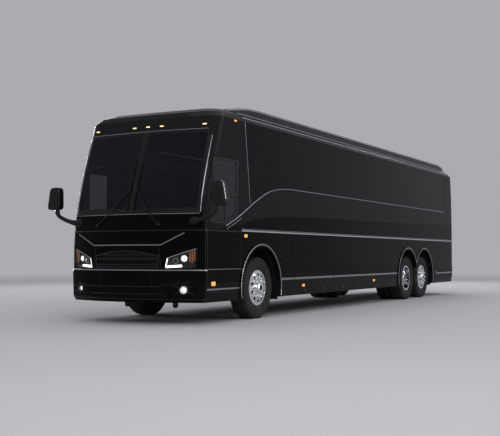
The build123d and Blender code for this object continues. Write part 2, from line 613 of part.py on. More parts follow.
deck = block(TAIL_X, WELL_WALL_X, -OUTSIDE_Y, OUTSIDE_Y, DECK_BOTTOM, DECK_TOP)
riser = block(WELL_WALL_X - BULKHEAD, WELL_WALL_X, -OUTSIDE_Y, OUTSIDE_Y, CAB_FLOOR_TOP - CAB_FLOOR_THICKNESS, DECK_TOP)
cab_floor = block(WELL_WALL_X - BULKHEAD, NOSE_X, -OUTSIDE_Y, OUTSIDE_Y, CAB_FLOOR_TOP - CAB_FLOOR_THICKNESS, CAB_FLOOR_TOP)
step_well = block(STEP_REAR_X, STEP_FRONT_X, -OUTSIDE_Y, STEP_TREADS[-1][0], 0, CAB_FLOOR_TOP + 1)
floor = deck + riser + (cab_floor - step_well)
floor = floor & cabin_form
stair = []
for (y0, z0), (y1, z1) in zip(STEP_TREADS, STEP_TREADS[1:]):
    stair += [(y0, z0), (y1, z0)]
    last = (y1, z1)
stair.append(last)
under = [(y + STEP_THICKNESS, z - STEP_THICKNESS) for y, z in reversed(stair)]
under[-1] = (stair[0][0], stair[0][1] - STEP_THICKNESS)
under[0] = (last[0] + STEP_THICKNESS, last[1])
floor = floor + prism_x(stair + under, STEP_REAR_X, STEP_FRONT_X)
for x in (STEP_REAR_X, STEP_FRONT_X - STEP_WALL):
    floor = floor + block(x, x + STEP_WALL, STEP_TREADS[0][0], STEP_TREADS[-1][0] + STEP_THICKNESS,
                          STEP_TREADS[0][1] - STEP_THICKNESS, CAB_FLOOR_TOP)
aisle_step = block(WELL_WALL_X, WELL_WALL_X + 280, -AISLE_HALF, AISLE_HALF,
                   CAB_FLOOR_TOP - 10, (CAB_FLOOR_TOP + DECK_TOP) / 2)
save("floor_structure", floor + aisle_step)

bay = block(BAY_EDGES[-1], BAY_EDGES[0], -BAY_HALF, BAY_HALF, *BAY_FLOOR)
for x, shift in zip(BAY_EDGES, (-BULKHEAD / 2, 0, 0, BULKHEAD / 2)):
    middle = x + shift
    bay = bay + block(middle - BULKHEAD / 2, middle + BULKHEAD / 2, -BAY_HALF, BAY_HALF, BAY_FLOOR[0], DECK_BOTTOM)
save("luggage_bays", bay)

# ---------------------------------------------------------------- cabin fittings
SEAT_PITCH = 815.0
SEAT_ROWS = 14
SEAT_FRONT_X = FRONT_AXLE_X + 60.0
SEAT_Y = (235.0, 1195.0)
SEAT_PROFILE = [(0.0, 400.0), (0.0, 500.0), (430.0, 520.0), (470.0, 500.0), (480.0, 400.0), (360.0, 380.0),
                (330.0, 0.0), (130.0, 0.0), (110.0, 380.0)]
BACK_PROFILE = [(60.0, 400.0), (-190.0, 1130.0), (-120.0, 1150.0), (-60.0, 1100.0), (170.0, 500.0), (100.0, 400.0)]


def bench(x, floor_z, y0, y1):
    """Seat with its back and pedestal, standing on a floor."""
    lift = floor_z
    cushion = prism_y([(x + px, lift + pz) for px, pz in SEAT_PROFILE], y0, y1)
    back = prism_y([(x + px, lift + pz) for px, pz in BACK_PROFILE], y0, y1)
    return cushion + back


seats = []
for row in range(SEAT_ROWS):
    x = SEAT_FRONT_X - row * SEAT_PITCH
    for side in (1, -1):
        seats.append(bench(x, DECK_TOP, *sorted((side * SEAT_Y[0], side * SEAT_Y[1]))))
DRIVER_SEAT = (FRONT_AXLE_X + 860.0, 420.0, 960.0)  # X of the back, and the two sides
seats.append(bench(DRIVER_SEAT[0], CAB_FLOOR_TOP, DRIVER_SEAT[1], DRIVER_SEAT[2]))
save("seats", *seats)

RACK = (870.0, OUTSIDE_Y, 2960.0, 3170.0)  # inner and outer Y, bottom and top Z
racks = []
for side in (1, -1):
    rack = block(-6400, CAB_SEAM_X - 500, side * RACK[0], side * RACK[1], RACK[2], RACK[3]) & cabin_form
    racks.append(rack)
save("luggage_racks", *racks)

DASH = [(1380.0, CAB_FLOOR_TOP), (1500.0, 1640.0), (1600.0, 1720.0), (2180.0, 1740.0), (2180.0, CAB_FLOOR_TOP)]
WHEEL_CENTRE = (FRONT_AXLE_X + 1330.0, 690.0, 1800.0)
WHEEL_TILT = 62.0
dash = prism_y([(FRONT_AXLE_X + x, z) for x, z in DASH], -OUTSIDE_Y, OUTSIDE_Y) & cabin_form
dash = dash - block(STEP_REAR_X, STEP_FRONT_X + 40, -OUTSIDE_Y, -500, CAB_FLOOR_TOP - 10, 2000)
save("dashboard", dash)
tilt = math.radians(WHEEL_TILT)
column_foot = (WHEEL_CENTRE[0] + 330 * math.sin(tilt) * 0.55, WHEEL_CENTRE[1], WHEEL_CENTRE[2] - 330)
column_axis = Vector(*WHEEL_CENTRE) - Vector(*column_foot)
plane = Plane(origin=WHEEL_CENTRE, z_dir=column_axis)
steering = plane * Torus(225, 16) + rod(column_foot, WHEEL_CENTRE, 28)
for turn in (0, 120, 240):
    spoke = Rot(0, 0, turn) * (Pos(112, 0, 0) * Box(226, 34, 14))
    steering = steering + plane * spoke
save("steering_wheel", steering - dash)

# ---------------------------------------------------------------- underframe, axles and engine
RAIL_FRONT_X = FRONT_AXLE_X + 1500.0
RAIL_REAR_X = TAIL_X + 330.0
CROSS_XS_FRONT = (RAIL_FRONT_X - 80.0, FRONT_AXLE_X + 620.0, FRONT_AXLE_X - 700.0)
CROSS_XS_REAR = (BAY_EDGES[-1] - 80.0, DRIVE_AXLE_X - 650.0)
CROSS_HEIGHT = 140.0
CROSS_WIDTH = 80.0
POST_X = 120.0
TOW_EYE = (FRONT_AXLE_X + 1440.0, 290.0, 30.0, 25.0)  # X, Z, thickness and bore radius
TOW_EYE_R = 60.0
TOW_EYE_INSET = 30.0

frames = []
for x0, x1, crosses in ((BAY_EDGES[0], RAIL_FRONT_X, CROSS_XS_FRONT), (RAIL_REAR_X, BAY_EDGES[-1], CROSS_XS_REAR)):
    frame = None
    for side in (1, -1):
        rail = block(x0, x1, side * RAIL_INNER_Y, side * RAIL_OUTER_Y, RAIL_BOTTOM, RAIL_TOP)
        frame = rail if frame is None else frame + rail
    for x in crosses:
        frame = frame + block(x, x + CROSS_WIDTH, -RAIL_OUTER_Y, RAIL_OUTER_Y, RAIL_TOP - CROSS_HEIGHT, RAIL_TOP)
    frames.append(frame)
for side in (1, -1):
    x, z, thickness, bore = TOW_EYE
    inner_y = side * (RAIL_INNER_Y + TOW_EYE_INSET)
    outer_y = inner_y + side * thickness
    eye = block(x - TOW_EYE_R, x + TOW_EYE_R, inner_y, outer_y, z, RAIL_BOTTOM)
    eye = eye + disc_y(x, z, TOW_EYE_R, inner_y, outer_y)
    frames[0] = frames[0] + eye - disc_y(x, z, bore, side * RAIL_INNER_Y, side * RAIL_OUTER_Y)
for x in (BAY_EDGES[-1] - 200.0, DRIVE_AXLE_X, TAG_AXLE_X, TAG_AXLE_X - 900.0, RAIL_REAR_X + 200.0):
    for side in (1, -1):
        frames[1] = frames[1] + block(x - POST_X / 2, x + POST_X / 2, side * RAIL_INNER_Y, side * RAIL_OUTER_Y,
                                      RAIL_TOP, DECK_BOTTOM)
for x in (FRONT_AXLE_X - 1000.0, FRONT_AXLE_X, FRONT_AXLE_X + 500.0):
    for side in (1, -1):
        frames[0] = frames[0] + block(x - POST_X / 2, x + POST_X / 2, side * RAIL_INNER_Y, side * RAIL_OUTER_Y,
                                      RAIL_TOP, DECK_BOTTOM)
save("underframe", *frames)

SPRING_R = 85.0
SPRING_X = 240.0
SPRING_Y = 465.0
PAD = (330.0, 395.0, 535.0, 480.0, 540.0)  # half length, inner and outer Y, bottom and top Z
KINGPIN_Y = SINGLE_WHEEL_Y - KINGPIN_INBOARD
EYE_R = 45.0
EYE_Z = (430.0, 550.0)
BEAM_HALF = 60.0
BEAM_Z = (440.0, 540.0)
KNUCKLE_GAP = 5.0
AXLE_TUBE_R = 80.0


def spring_pads(x):
    """Pads that carry the air springs each side of an axle."""
    half, y0, y1, z0, z1 = PAD
    return block(x - half, x + half, y0, y1, z0, z1) + block(x - half, x + half, -y1, -y0, z0, z1)


def air_springs(x):
    """Bellows between an axle's pads and the rails."""
    return [rod((x + dx, side * SPRING_Y, PAD[4]), (x + dx, side * SPRING_Y, RAIL_BOTTOM), SPRING_R)
            for dx in (-SPRING_X, SPRING_X) for side in (1, -1)]


beam = block(FRONT_AXLE_X - BEAM_HALF, FRONT_AXLE_X + BEAM_HALF, -KINGPIN_Y + 75, KINGPIN_Y - 75, *BEAM_Z)
for side in (1, -1):
    neck = block(FRONT_AXLE_X - 38, FRONT_AXLE_X + 38, side * (KINGPIN_Y - 90), side * KINGPIN_Y, *BEAM_Z)
    eye = rod((FRONT_AXLE_X, side * KINGPIN_Y, EYE_Z[0]), (FRONT_AXLE_X, side * KINGPIN_Y, EYE_Z[1]), EYE_R)
    beam = beam + neck + eye
    beam = beam - rod((FRONT_AXLE_X, side * KINGPIN_Y, 0), (FRONT_AXLE_X, side * KINGPIN_Y, 900),
                      KINGPIN_R + JOURNAL_CLEARANCE)
beam = beam + spring_pads(FRONT_AXLE_X)

SPINDLE_END = 80.0


def fixed_axle(x, seat_y):
    """Tube with spring pads and a spindle at each end."""
    axle = disc_y(x, TYRE_R, AXLE_TUBE_R, -seat_y, seat_y) + spring_pads(x)
    for side in (1, -1):
        axle = axle + disc_y(x, TYRE_R, SPINDLE_R, side * (seat_y - 10), side * (SINGLE_WHEEL_Y + SPINDLE_END))
    return axle


DUAL_MID_Y = OUTER_DUAL_Y - DUAL_PITCH / 2
DUAL_HUB_INNER = DUAL_MID_Y - 240.0
SINGLE_HUB_INNER = SINGLE_WHEEL_Y - 60.0
drive_axle = fixed_axle(DRIVE_AXLE_X, DUAL_HUB_INNER - PANEL_GAP)
drive_axle = drive_axle + Pos(DRIVE_AXLE_X, 0, TYRE_R) * Sphere(200)
tag_axle = fixed_axle(TAG_AXLE_X, SINGLE_HUB_INNER - PANEL_GAP)
save("axles", beam, drive_axle, tag_axle)
save("air_springs", *air_springs(FRONT_AXLE_X), *air_springs(DRIVE_AXLE_X), *air_springs(TAG_AXLE_X))

for side, name in ((1, "left"), (-1, "right")):
    x, y = FRONT_AXLE_X, KINGPIN_Y
    plate_y = y + EYE_R + KNUCKLE_GAP
    arms = (EYE_Z[1] + KNUCKLE_GAP, EYE_Z[1] + 45.0), (EYE_Z[0] - 45.0, EYE_Z[0] - KNUCKLE_GAP)
    knuckle = block(x - 45, x + 45, plate_y, plate_y + 35, arms[1][0], arms[0][1])
    for z0, z1 in arms:
        knuckle = knuckle + block(x - 42, x + 42, y - 42, plate_y + 1, z0, z1)
    knuckle = knuckle + rod((x, y, arms[1][0]), (x, y, arms[0][1]), KINGPIN_R)
    knuckle = knuckle + disc_y(x, TYRE_R, SPINDLE_R, plate_y + 20, SINGLE_WHEEL_Y + SPINDLE_END)
    save(f"{name}_knuckle", on_side(knuckle, side))

ENGINE = (TAIL_X + 420.0, TAIL_X + 1750.0, 560.0, 1330.0)  # rear and front X, bottom and top Z
save("engine_block", block(ENGINE[0], ENGINE[1], SEAT_GAP - RAIL_INNER_Y, RAIL_INNER_Y - SEAT_GAP, ENGINE[2], ENGINE[3]))

# ---------------------------------------------------------------- wheels
# distance from the tyre's middle plane, and radius
TYRE_HALF_PROFILE = ((BEAD_HALF, BEAD_R), (BEAD_HALF, FLANGE_R + 2.0), (140.0, 335.0), (TYRE_WIDTH / 2, 420.0),
                     (150.0, 490.0), (132.0, 522.0), (118.0, TYRE_R))
BARREL_R = BEAD_R - SEAT_GAP
BARREL_INNER_R = BARREL_R - RIM_WALL


def tyre(x, y):
    """Tyre ring centred at a wheel."""
    outside = [(y + dy, r) for dy, r in TYRE_HALF_PROFILE]
    inside = [(y - dy, r) for dy, r in reversed(TYRE_HALF_PROFILE)]
    return ring_y(outside + inside, x, TYRE_R)


def barrel(x, y0, y1):
    """Rim barrel with a flange at each end."""
    lip = FLANGE_HALF - BEAD_HALF - SEAT_GAP
    return ring_y([(y0, BARREL_INNER_R), (y1, BARREL_INNER_R), (y1, FLANGE_R), (y1 - lip, FLANGE_R),
                   (y1 - lip, BARREL_R), (y0 + lip, BARREL_R), (y0 + lip, FLANGE_R), (y0, FLANGE_R)], x, TYRE_R)


def nuts_and_holes(x, face_y, disc):
    """Wheel disc with its ring of nuts added and its hand holes cut."""
    for n in range(NUT_COUNT):
        a = 2 * math.pi * n / NUT_COUNT
        dx, dz = NUT_CIRCLE_R * math.cos(a), NUT_CIRCLE_R * math.sin(a)
        disc = disc + disc_y(x + dx, TYRE_R + dz, NUT_R, face_y - 5, face_y + NUT_HEIGHT)
    for n in range(HAND_HOLE_COUNT):
        a = 2 * math.pi * (n + 0.5) / HAND_HOLE_COUNT
        dx, dz = HAND_HOLE_CIRCLE_R * math.cos(a), HAND_HOLE_CIRCLE_R * math.sin(a)
        disc = disc - disc_y(x + dx, TYRE_R + dz, HAND_HOLE_R, face_y - 150, face_y + 60)
    return disc


def hub(x, y0, face_y, tip_y):
    """Hub with a blind bore for the spindle and a domed cap."""
    body = ring_y([(y0, SPINDLE_R + JOURNAL_CLEARANCE), (y0, HUB_R), (face_y + 30, HUB_R), (face_y + 45, 88.0),
                   (tip_y - 12, 84.0), (tip_y, 62.0), (tip_y, 0.0), (SINGLE_WHEEL_Y + SPINDLE_END + 2, 0.0),
                   (SINGLE_WHEEL_Y + SPINDLE_END + 2, SPINDLE_R + JOURNAL_CLEARANCE)], x, TYRE_R)
    return body


def single_rim(x):
    """Wheel with its disc bulging outwards."""
    y = SINGLE_WHEEL_Y
    rim = barrel(x, y - FLANGE_HALF, y + FLANGE_HALF)
    face_y = y + 148.0
    bowl = ring_y([(y + 100, BARREL_R - 4), (y + 128, BARREL_INNER_R + 6), (y + 142, 235.0), (face_y, 205.0),
                   (face_y, HUB_R - 5), (face_y - 22, HUB_R - 5), (face_y - 22, 200.0), (y + 118, 225.0),
                   (y + 100, BARREL_INNER_R - 2)], x, TYRE_R)
    rim = rim + bowl
    rim = nuts_and_holes(x, face_y, rim)
    return rim + hub(x, SINGLE_HUB_INNER, face_y, y + 200.0)


def dual_rim(x):
    """Twin wheels on one hub, with the outer disc deep inside its barrel."""
    rim = barrel(x, OUTER_DUAL_Y - DUAL_PITCH - FLANGE_HALF, OUTER_DUAL_Y + FLANGE_HALF)
    face_y = DUAL_MID_Y + 14.0
    disc = ring_y([(face_y + 22, BARREL_INNER_R + 4), (face_y + 6, 240.0), (face_y, 205.0), (face_y, HUB_R - 5),
                   (face_y - 28, HUB_R - 5), (face_y - 28, BARREL_INNER_R + 4)], x, TYRE_R)
    rim = rim + disc
    rim = nuts_and_holes(x, face_y, rim)
    return rim + hub(x, DUAL_HUB_INNER, face_y, OUTER_DUAL_Y + 95.0)


for side, name in ((1, "left"), (-1, "right")):
    save(f"{name}_front_tyre", on_side(tyre(FRONT_AXLE_X, SINGLE_WHEEL_Y), side))
    save(f"{name}_front_rim", on_side(single_rim(FRONT_AXLE_X), side))
    save(f"{name}_tag_tyre", on_side(tyre(TAG_AXLE_X, SINGLE_WHEEL_Y), side))
    save(f"{name}_tag_rim", on_side(single_rim(TAG_AXLE_X), side))
    duals = [on_side(tyre(DRIVE_AXLE_X, y), side) for y in (OUTER_DUAL_Y, OUTER_DUAL_Y - DUAL_PITCH)]
    save(f"{name}_drive_tyres", *duals)
    save(f"{name}_drive_rims", on_side(dual_rim(DRIVE_AXLE_X), side))
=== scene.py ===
import bpy
import bmesh
import json
import math
from contextlib import contextmanager
from bmesh.types import BMEdge, BMVert
from mathutils import Matrix, Vector
from mathutils.bvhtree import BVHTree
from mathutils.geometry import interpolate_bezier

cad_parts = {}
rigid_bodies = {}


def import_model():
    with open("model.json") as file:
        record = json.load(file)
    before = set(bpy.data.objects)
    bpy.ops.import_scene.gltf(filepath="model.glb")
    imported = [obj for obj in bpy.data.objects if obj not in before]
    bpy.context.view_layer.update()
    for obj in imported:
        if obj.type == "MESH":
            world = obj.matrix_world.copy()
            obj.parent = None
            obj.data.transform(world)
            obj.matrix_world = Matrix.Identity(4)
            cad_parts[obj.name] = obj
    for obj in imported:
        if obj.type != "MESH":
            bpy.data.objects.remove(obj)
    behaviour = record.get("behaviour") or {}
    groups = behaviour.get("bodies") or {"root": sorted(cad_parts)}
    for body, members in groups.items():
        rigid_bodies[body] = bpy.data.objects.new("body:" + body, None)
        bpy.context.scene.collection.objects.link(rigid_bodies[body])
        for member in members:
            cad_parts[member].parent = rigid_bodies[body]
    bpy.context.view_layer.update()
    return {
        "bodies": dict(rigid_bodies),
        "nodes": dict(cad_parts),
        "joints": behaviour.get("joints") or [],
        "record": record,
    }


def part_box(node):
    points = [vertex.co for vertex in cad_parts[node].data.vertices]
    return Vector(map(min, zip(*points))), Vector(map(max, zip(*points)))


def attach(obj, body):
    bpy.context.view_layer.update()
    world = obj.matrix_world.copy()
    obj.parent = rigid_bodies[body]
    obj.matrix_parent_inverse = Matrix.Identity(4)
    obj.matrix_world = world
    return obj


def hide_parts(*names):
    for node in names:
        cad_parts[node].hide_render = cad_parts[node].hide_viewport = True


# A long black touring coach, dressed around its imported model. Metres, +X forward, +Y to the driver's side, +Z up.
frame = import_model()
NODES = frame["nodes"]


def joint_place(name):
    """Where the record puts a joint."""
    return Vector(next(j["pos_m"] for j in frame["joints"] if j["name"] == name))


# ---- sizes worked out from the model
FRONT_AXLE_X, _, TYRE_R = joint_place("left_front_spin")
DRIVE_AXLE_X = joint_place("left_drive_spin").x
TAG_AXLE_X = joint_place("left_tag_spin").x
TAIL_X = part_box("rear_bumper")[0].x
REAR_SEAM_X, _, BELT_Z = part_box("left_upper_side")[0]
BUMPER_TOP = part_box("front_bumper")[1].z
FASCIA_SEAM_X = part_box("front_bumper")[0].x
# front and rear end of each luggage bay's door
BAYS = [(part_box(f"left_bay_door_{n}")[1].x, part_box(f"left_bay_door_{n}")[0].x) for n in (1, 2, 3)]
SIDES = ((1, "left"), (-1, "right"))


def ahead(distance):
    """X of a place that far ahead of the front axle."""
    return FRONT_AXLE_X + distance


# ---- node helpers
class Nodes:
    """Adds nodes to one tree and links them."""

    def __init__(self, tree):
        self.tree = tree

    def link(self, source, target):
        self.tree.links.new(source, target)

    def feed(self, socket, value):
        """Links a socket to another one, or gives it a number or a colour."""
        if isinstance(value, bpy.types.NodeSocket):
            self.link(value, socket)
        else:
            socket.default_value = (*value, 1.0) if isinstance(value, tuple) else value

    def add(self, kind, feeds=(), **values):
        """New node with its settings and with what its sockets are fed, by name or number."""
        node = self.tree.nodes.new(kind)
        for key, value in values.items():
            setattr(node, key, value)
        for key, value in dict(feeds).items():
            self.feed(node.inputs[key], value)
        return node

    def math(self, operation, a, b, clamp=False):
        return self.add("ShaderNodeMath", {0: a, 1: b}, operation=operation, use_clamp=clamp).outputs[0]

    def map_range(self, value, low, high, to_low=0.0, to_high=1.0, kind="LINEAR"):
        feeds = {"Value": value, "From Min": low, "From Max": high, "To Min": to_low, "To Max": to_high}
        return self.add("ShaderNodeMapRange", feeds, interpolation_type=kind).outputs["Result"]

    def mix_colour(self, factor, a, b):
        return self.add("ShaderNodeMix", {"Factor": factor, "A": a, "B": b}, data_type="RGBA").outputs["Result"]

    def noise(self, vector, scale, detail=3.0, roughness=0.5):
        feeds = {"Vector": vector, "Scale": scale, "Detail": detail, "Roughness": roughness}
        return self.add("ShaderNodeTexNoise", feeds).outputs["Fac"]

    def split(self, vector):
        """X, Y and Z of a vector."""
        return self.add("ShaderNodeSeparateXYZ", {0: vector}).outputs


def group_shell(name, inputs, *outputs):
    """Empty shader node group with named sockets. Returns its node helper, its inputs and its outputs."""
    tree = bpy.data.node_groups.new(name, "ShaderNodeTree")
    for label, value in inputs.items():
        kind = "NodeSocketVector" if isinstance(value, tuple) else "NodeSocketFloat"
        tree.interface.new_socket(name=label, in_out="INPUT", socket_type=kind).default_value = value
    for label in outputs:
        tree.interface.new_socket(name=label, in_out="OUTPUT", socket_type="NodeSocketFloat")
    n = Nodes(tree)
    return n, n.add("NodeGroupInput").outputs, n.add("NodeGroupOutput").inputs


def make_surface_group():
    """Fine relief with a drift of roughness: orange peel, grain or casting skin by its scale."""
    n, given, out = group_shell("fine_surface", {"Place": (0, 0, 0), "Scale": 100.0, "Roughness": 0.3, "Drift": 0.1},
                                "Height", "Roughness")
    scaled = n.add("ShaderNodeVectorMath", {0: given["Place"], "Scale": given["Scale"]}, operation="SCALE")
    n.link(n.noise(scaled.outputs[0], 1.0), out["Height"])
    slow = n.math("SUBTRACT", n.noise(given["Place"], 2.3, 4.0), 0.5)
    n.link(n.math("ADD", given["Roughness"], n.math("MULTIPLY", slow, given["Drift"]), True), out["Roughness"])
    return n.tree


def make_road_film_group():
    """Thin film of road dust that thickens towards the ground."""
    n, given, out = group_shell("road_film", {"Place": (0, 0, 0), "Top": 1.0, "Strength": 0.3}, "Mask")
    height = n.split(given["Place"])["Z"]
    level = n.math("SUBTRACT", 1.0, n.math("DIVIDE", height, given["Top"]), True)
    patchy = n.map_range(n.noise(given["Place"], 5.0, 6.0, 0.7), 0.35, 0.75)
    n.link(n.math("MULTIPLY", n.math("MULTIPLY", level, patchy), given["Strength"], True), out["Mask"])
    return n.tree


def make_edge_wear_group():
    """Lighter rubbed edges, from the difference between two surface normals."""
    n, given, out = group_shell("rubbed_edges", {"Width": 0.004, "Strength": 0.5}, "Mask")
    bevel = n.add("ShaderNodeBevel", {"Radius": given["Width"]}, samples=4).outputs[0]
    normal = n.add("ShaderNodeNewGeometry").outputs["Normal"]
    dot = n.add("ShaderNodeVectorMath", {0: bevel, 1: normal}, operation="DOT_PRODUCT")
    edge = n.map_range(dot.outputs["Value"], 0.99, 0.85)
    n.link(n.math("MULTIPLY", edge, given["Strength"], True), out["Mask"])
    return n.tree


SURFACE = make_surface_group()
ROAD_FILM = make_road_film_group()
RUBBED = make_edge_wear_group()
DUST = (0.16, 0.145, 0.13)


class Finish:
    """One material in the making: a principled shader, object coordinates and a few shared effects."""

    def __init__(self, name, colour, **constants):
        self.material = bpy.data.materials.new(name)
        self.material.use_nodes = True
        self.n = Nodes(self.material.node_tree)
        self.inputs = self.material.node_tree.nodes["Principled BSDF"].inputs
        self.colour = colour
        for key, value in {"Base Color": colour, **constants}.items():
            self.n.feed(self.inputs[key.replace("_", " ")], value)
        self.place = self.n.add("ShaderNodeTexCoord").outputs["Object"]

    def group(self, tree, **feeds):
        return self.n.add("ShaderNodeGroup", feeds, node_tree=tree).outputs

    def bump(self, height, strength, distance):
        node = self.n.add("ShaderNodeBump", {"Strength": strength, "Distance": distance, "Height": height})
        self.n.link(node.outputs[0], self.inputs["Normal"])

    def paint(self, colour):
        self.n.link(colour, self.inputs["Base Color"])
        return self

    def relief(self, scale, strength, distance, roughness, drift):
        """Fine relief and uneven roughness."""
        made = self.group(SURFACE, Place=self.place, Scale=scale, Roughness=roughness, Drift=drift)
        self.bump(made["Height"], strength, distance)
        self.n.link(made["Roughness"], self.inputs["Roughness"])
        return self

    def film(self, top, strength, base=None):
        """Road dust over the colour, or over another one."""
        mask = self.group(ROAD_FILM, Place=self.place, Top=top, Strength=strength)["Mask"]
        return self.paint(self.n.mix_colour(mask, base or self.colour, DUST))

    def rubbed(self, colour):
        """Another colour along the edges."""
        return self.paint(self.n.mix_colour(self.group(RUBBED)["Mask"], self.colour, colour))


# ---- paints and metals
BLACK = (0.0035, 0.0035, 0.004)
CHARCOAL = (0.015, 0.0155, 0.017)
# distance ahead of the front axle and height of the line between the charcoal above, a painted reflection, and the
# black below
REFLECTION_LINE = ((2.2, 1.45), (1.2, 1.53), (0.73, 1.60), (0.05, 1.71), (-0.97, 1.785), (-5.36, 1.85), (-11.92, 1.95))
REFLECTION_LOW_Z, REFLECTION_HIGH_Z = 1.4, 2.0
CAB_GLASS_ALPHA = 0.62
DUSTY_TO_Z = 1.2


def coach_paint_with_reflection():
    """Gloss black, with a charcoal painted reflection of soft light above a long falling curve."""
    f = Finish("coach_paint_with_reflection", BLACK, Roughness=0.10, Specular_IOR_Level=0.025)
    n = f.n
    place = n.split(f.place)
    low_x, high_x = ahead(REFLECTION_LINE[-1][0]), ahead(REFLECTION_LINE[0][0])
    curve = n.add("ShaderNodeFloatCurve")
    points = curve.mapping.curves[0].points
    knots = sorted(((ahead(d) - low_x) / (high_x - low_x), (z - REFLECTION_LOW_Z) / (REFLECTION_HIGH_Z - REFLECTION_LOW_Z))
                   for d, z in REFLECTION_LINE)
    points[0].location, points[1].location = knots[0], knots[-1]
    for knot in knots[1:-1]:
        points.new(*knot)
    curve.mapping.update()
    n.link(n.map_range(place["X"], low_x, high_x), curve.inputs["Value"])
    line = n.map_range(curve.outputs[0], 0.0, 1.0, REFLECTION_LOW_Z, REFLECTION_HIGH_Z)
    above = n.map_range(n.math("SUBTRACT", place["Z"], line), -0.003, 0.003)
    # the nose is black up to its brow, and the skirts are part charcoal
    nose = n.map_range(place["X"], ahead(1.84), ahead(1.86))
    brow = n.map_range(place["Z"], 3.05, 3.12)
    above = n.math("MULTIPLY", above, n.math("MAXIMUM", n.math("SUBTRACT", 1.0, nose), brow))
    skirt = n.map_range(place["Z"], 0.655, 0.645, 0.0, 0.55)
    above = n.math("MAXIMUM", above, n.math("MULTIPLY", skirt, n.math("SUBTRACT", 1.0, nose)))
    # the charcoal with its fleck stands for soft light mirrored by the upper body: a painted reflection
    flake = n.map_range(n.noise(f.place, 900.0, 2.0), 0.45, 0.75, 0.0, 0.35)
    charcoal = n.mix_colour(flake, CHARCOAL, (0.028, 0.029, 0.032))
    f.film(1.1, 0.05, n.mix_colour(above, BLACK, charcoal))
    return f.relief(420.0, 0.02, 0.0004, 0.10, 0.05).material


def tinted_glass(name, alpha, colour, cab_reflection_colour=None, gloss=0.06):
    """Dark pane that shows the cabin faintly. Given a cab colour, it is clearer ahead of the front axle and paler
    there, a painted reflection.
    """
    f = Finish(name, colour, Roughness=0.15, Alpha=alpha, IOR=1.52, Specular_IOR_Level=gloss)
    f.bump(f.n.noise(f.place, 1.1, 1.0), 0.04, 0.004)
    if cab_reflection_colour:
        # ahead of the front axle the pane is clearer, and its paler colour is a painted reflection
        cab = f.n.map_range(f.n.split(f.place)["X"], ahead(0.60), ahead(0.70))
        f.paint(f.n.mix_colour(cab, colour, cab_reflection_colour))
        f.n.link(f.n.map_range(cab, 0.0, 1.0, alpha, CAB_GLASS_ALPHA), f.inputs["Alpha"])
    f.material.surface_render_method = "BLENDED"
    return f.material


def polished(name, colour, roughness, scale=60.0, strength=0.03, film=0.0):
    """Bright metal with faint polishing marks."""
    f = Finish(name, colour, Metallic=1.0).relief(scale, strength, 0.0004, roughness, 0.09)
    if film:
        f.film(DUSTY_TO_Z, film)
    return f.material


def plastic(name, colour, roughness, scale=700.0, strength=0.12, film=0.0, worn=None):
    """Moulded plastic, rubber or satin paint with a fine grain."""
    f = Finish(name, colour, Specular_IOR_Level=0.25).relief(scale, strength, 0.0006, roughness, 0.12)
    if worn:
        f.rubbed(worn)
    elif film:
        f.film(DUSTY_TO_Z, film)
    return f.material


def lamp_glow(name, colour, strength, cells=0.0):
    """Lit lens or light bar, brighter between its moulded prisms."""
    f = Finish(name, colour, Roughness=0.2, Emission_Strength=strength, Coat_Weight=0.6)
    glow = f.n.mix_colour(f.n.noise(f.place, 35.0, 2.0), tuple(c * 0.72 for c in colour), colour)
    f.n.link(glow, f.inputs["Emission Color"])
    if cells:
        prisms = f.n.add("ShaderNodeTexVoronoi", {"Vector": f.place, "Scale": cells})
        f.bump(prisms.outputs["Distance"], 0.5, 0.003)
    return f.material


def woven(name, colour, accent, scale):
    """Woven seat cloth with fleck."""
    f = Finish(name, colour, Roughness=0.85, Sheen_Weight=0.35, Sheen_Roughness=0.4)
    fleck = f.n.map_range(f.n.noise(f.place, scale * 0.35, 2.0), 0.52, 0.62)
    weave = f.n.add("ShaderNodeTexWave", {"Vector": f.place, "Scale": scale, "Distortion": 1.2}, wave_type="BANDS",
                    bands_direction="DIAGONAL")
    f.paint(f.n.mix_colour(f.n.math("MULTIPLY", fleck, 0.7), colour, accent))
    f.bump(weave.outputs["Fac"], 0.12, 0.0008)
    return f.material


def bay_lining():
    """Brushed sheet inside the luggage bays, dark underseal below their floor."""
    f = Finish("bay_metal", (0.42, 0.43, 0.44)).relief(90.0, 0.12, 0.0004, 0.45, 0.09)
    inside = f.n.map_range(f.n.split(f.place)["Z"], 0.430, 0.436)
    f.n.link(inside, f.inputs["Metallic"])
    return f.paint(f.n.mix_colour(inside, (0.016, 0.016, 0.017), f.colour)).material


def ribbed_vinyl():
    """Ribbed and speckled vinyl floor."""
    f = Finish("ribbed_floor", (0.045, 0.046, 0.05), Roughness=0.6)
    wave = f.n.add("ShaderNodeTexWave", {"Vector": f.place, "Scale": 18.0}, wave_type="BANDS", bands_direction="Y")
    f.bump(wave.outputs["Fac"], 0.4, 0.002)
    speckle = f.n.map_range(f.n.noise(f.place, 260.0, 2.0), 0.6, 0.7)
    return f.paint(f.n.mix_colour(speckle, f.colour, (0.14, 0.14, 0.15))).material


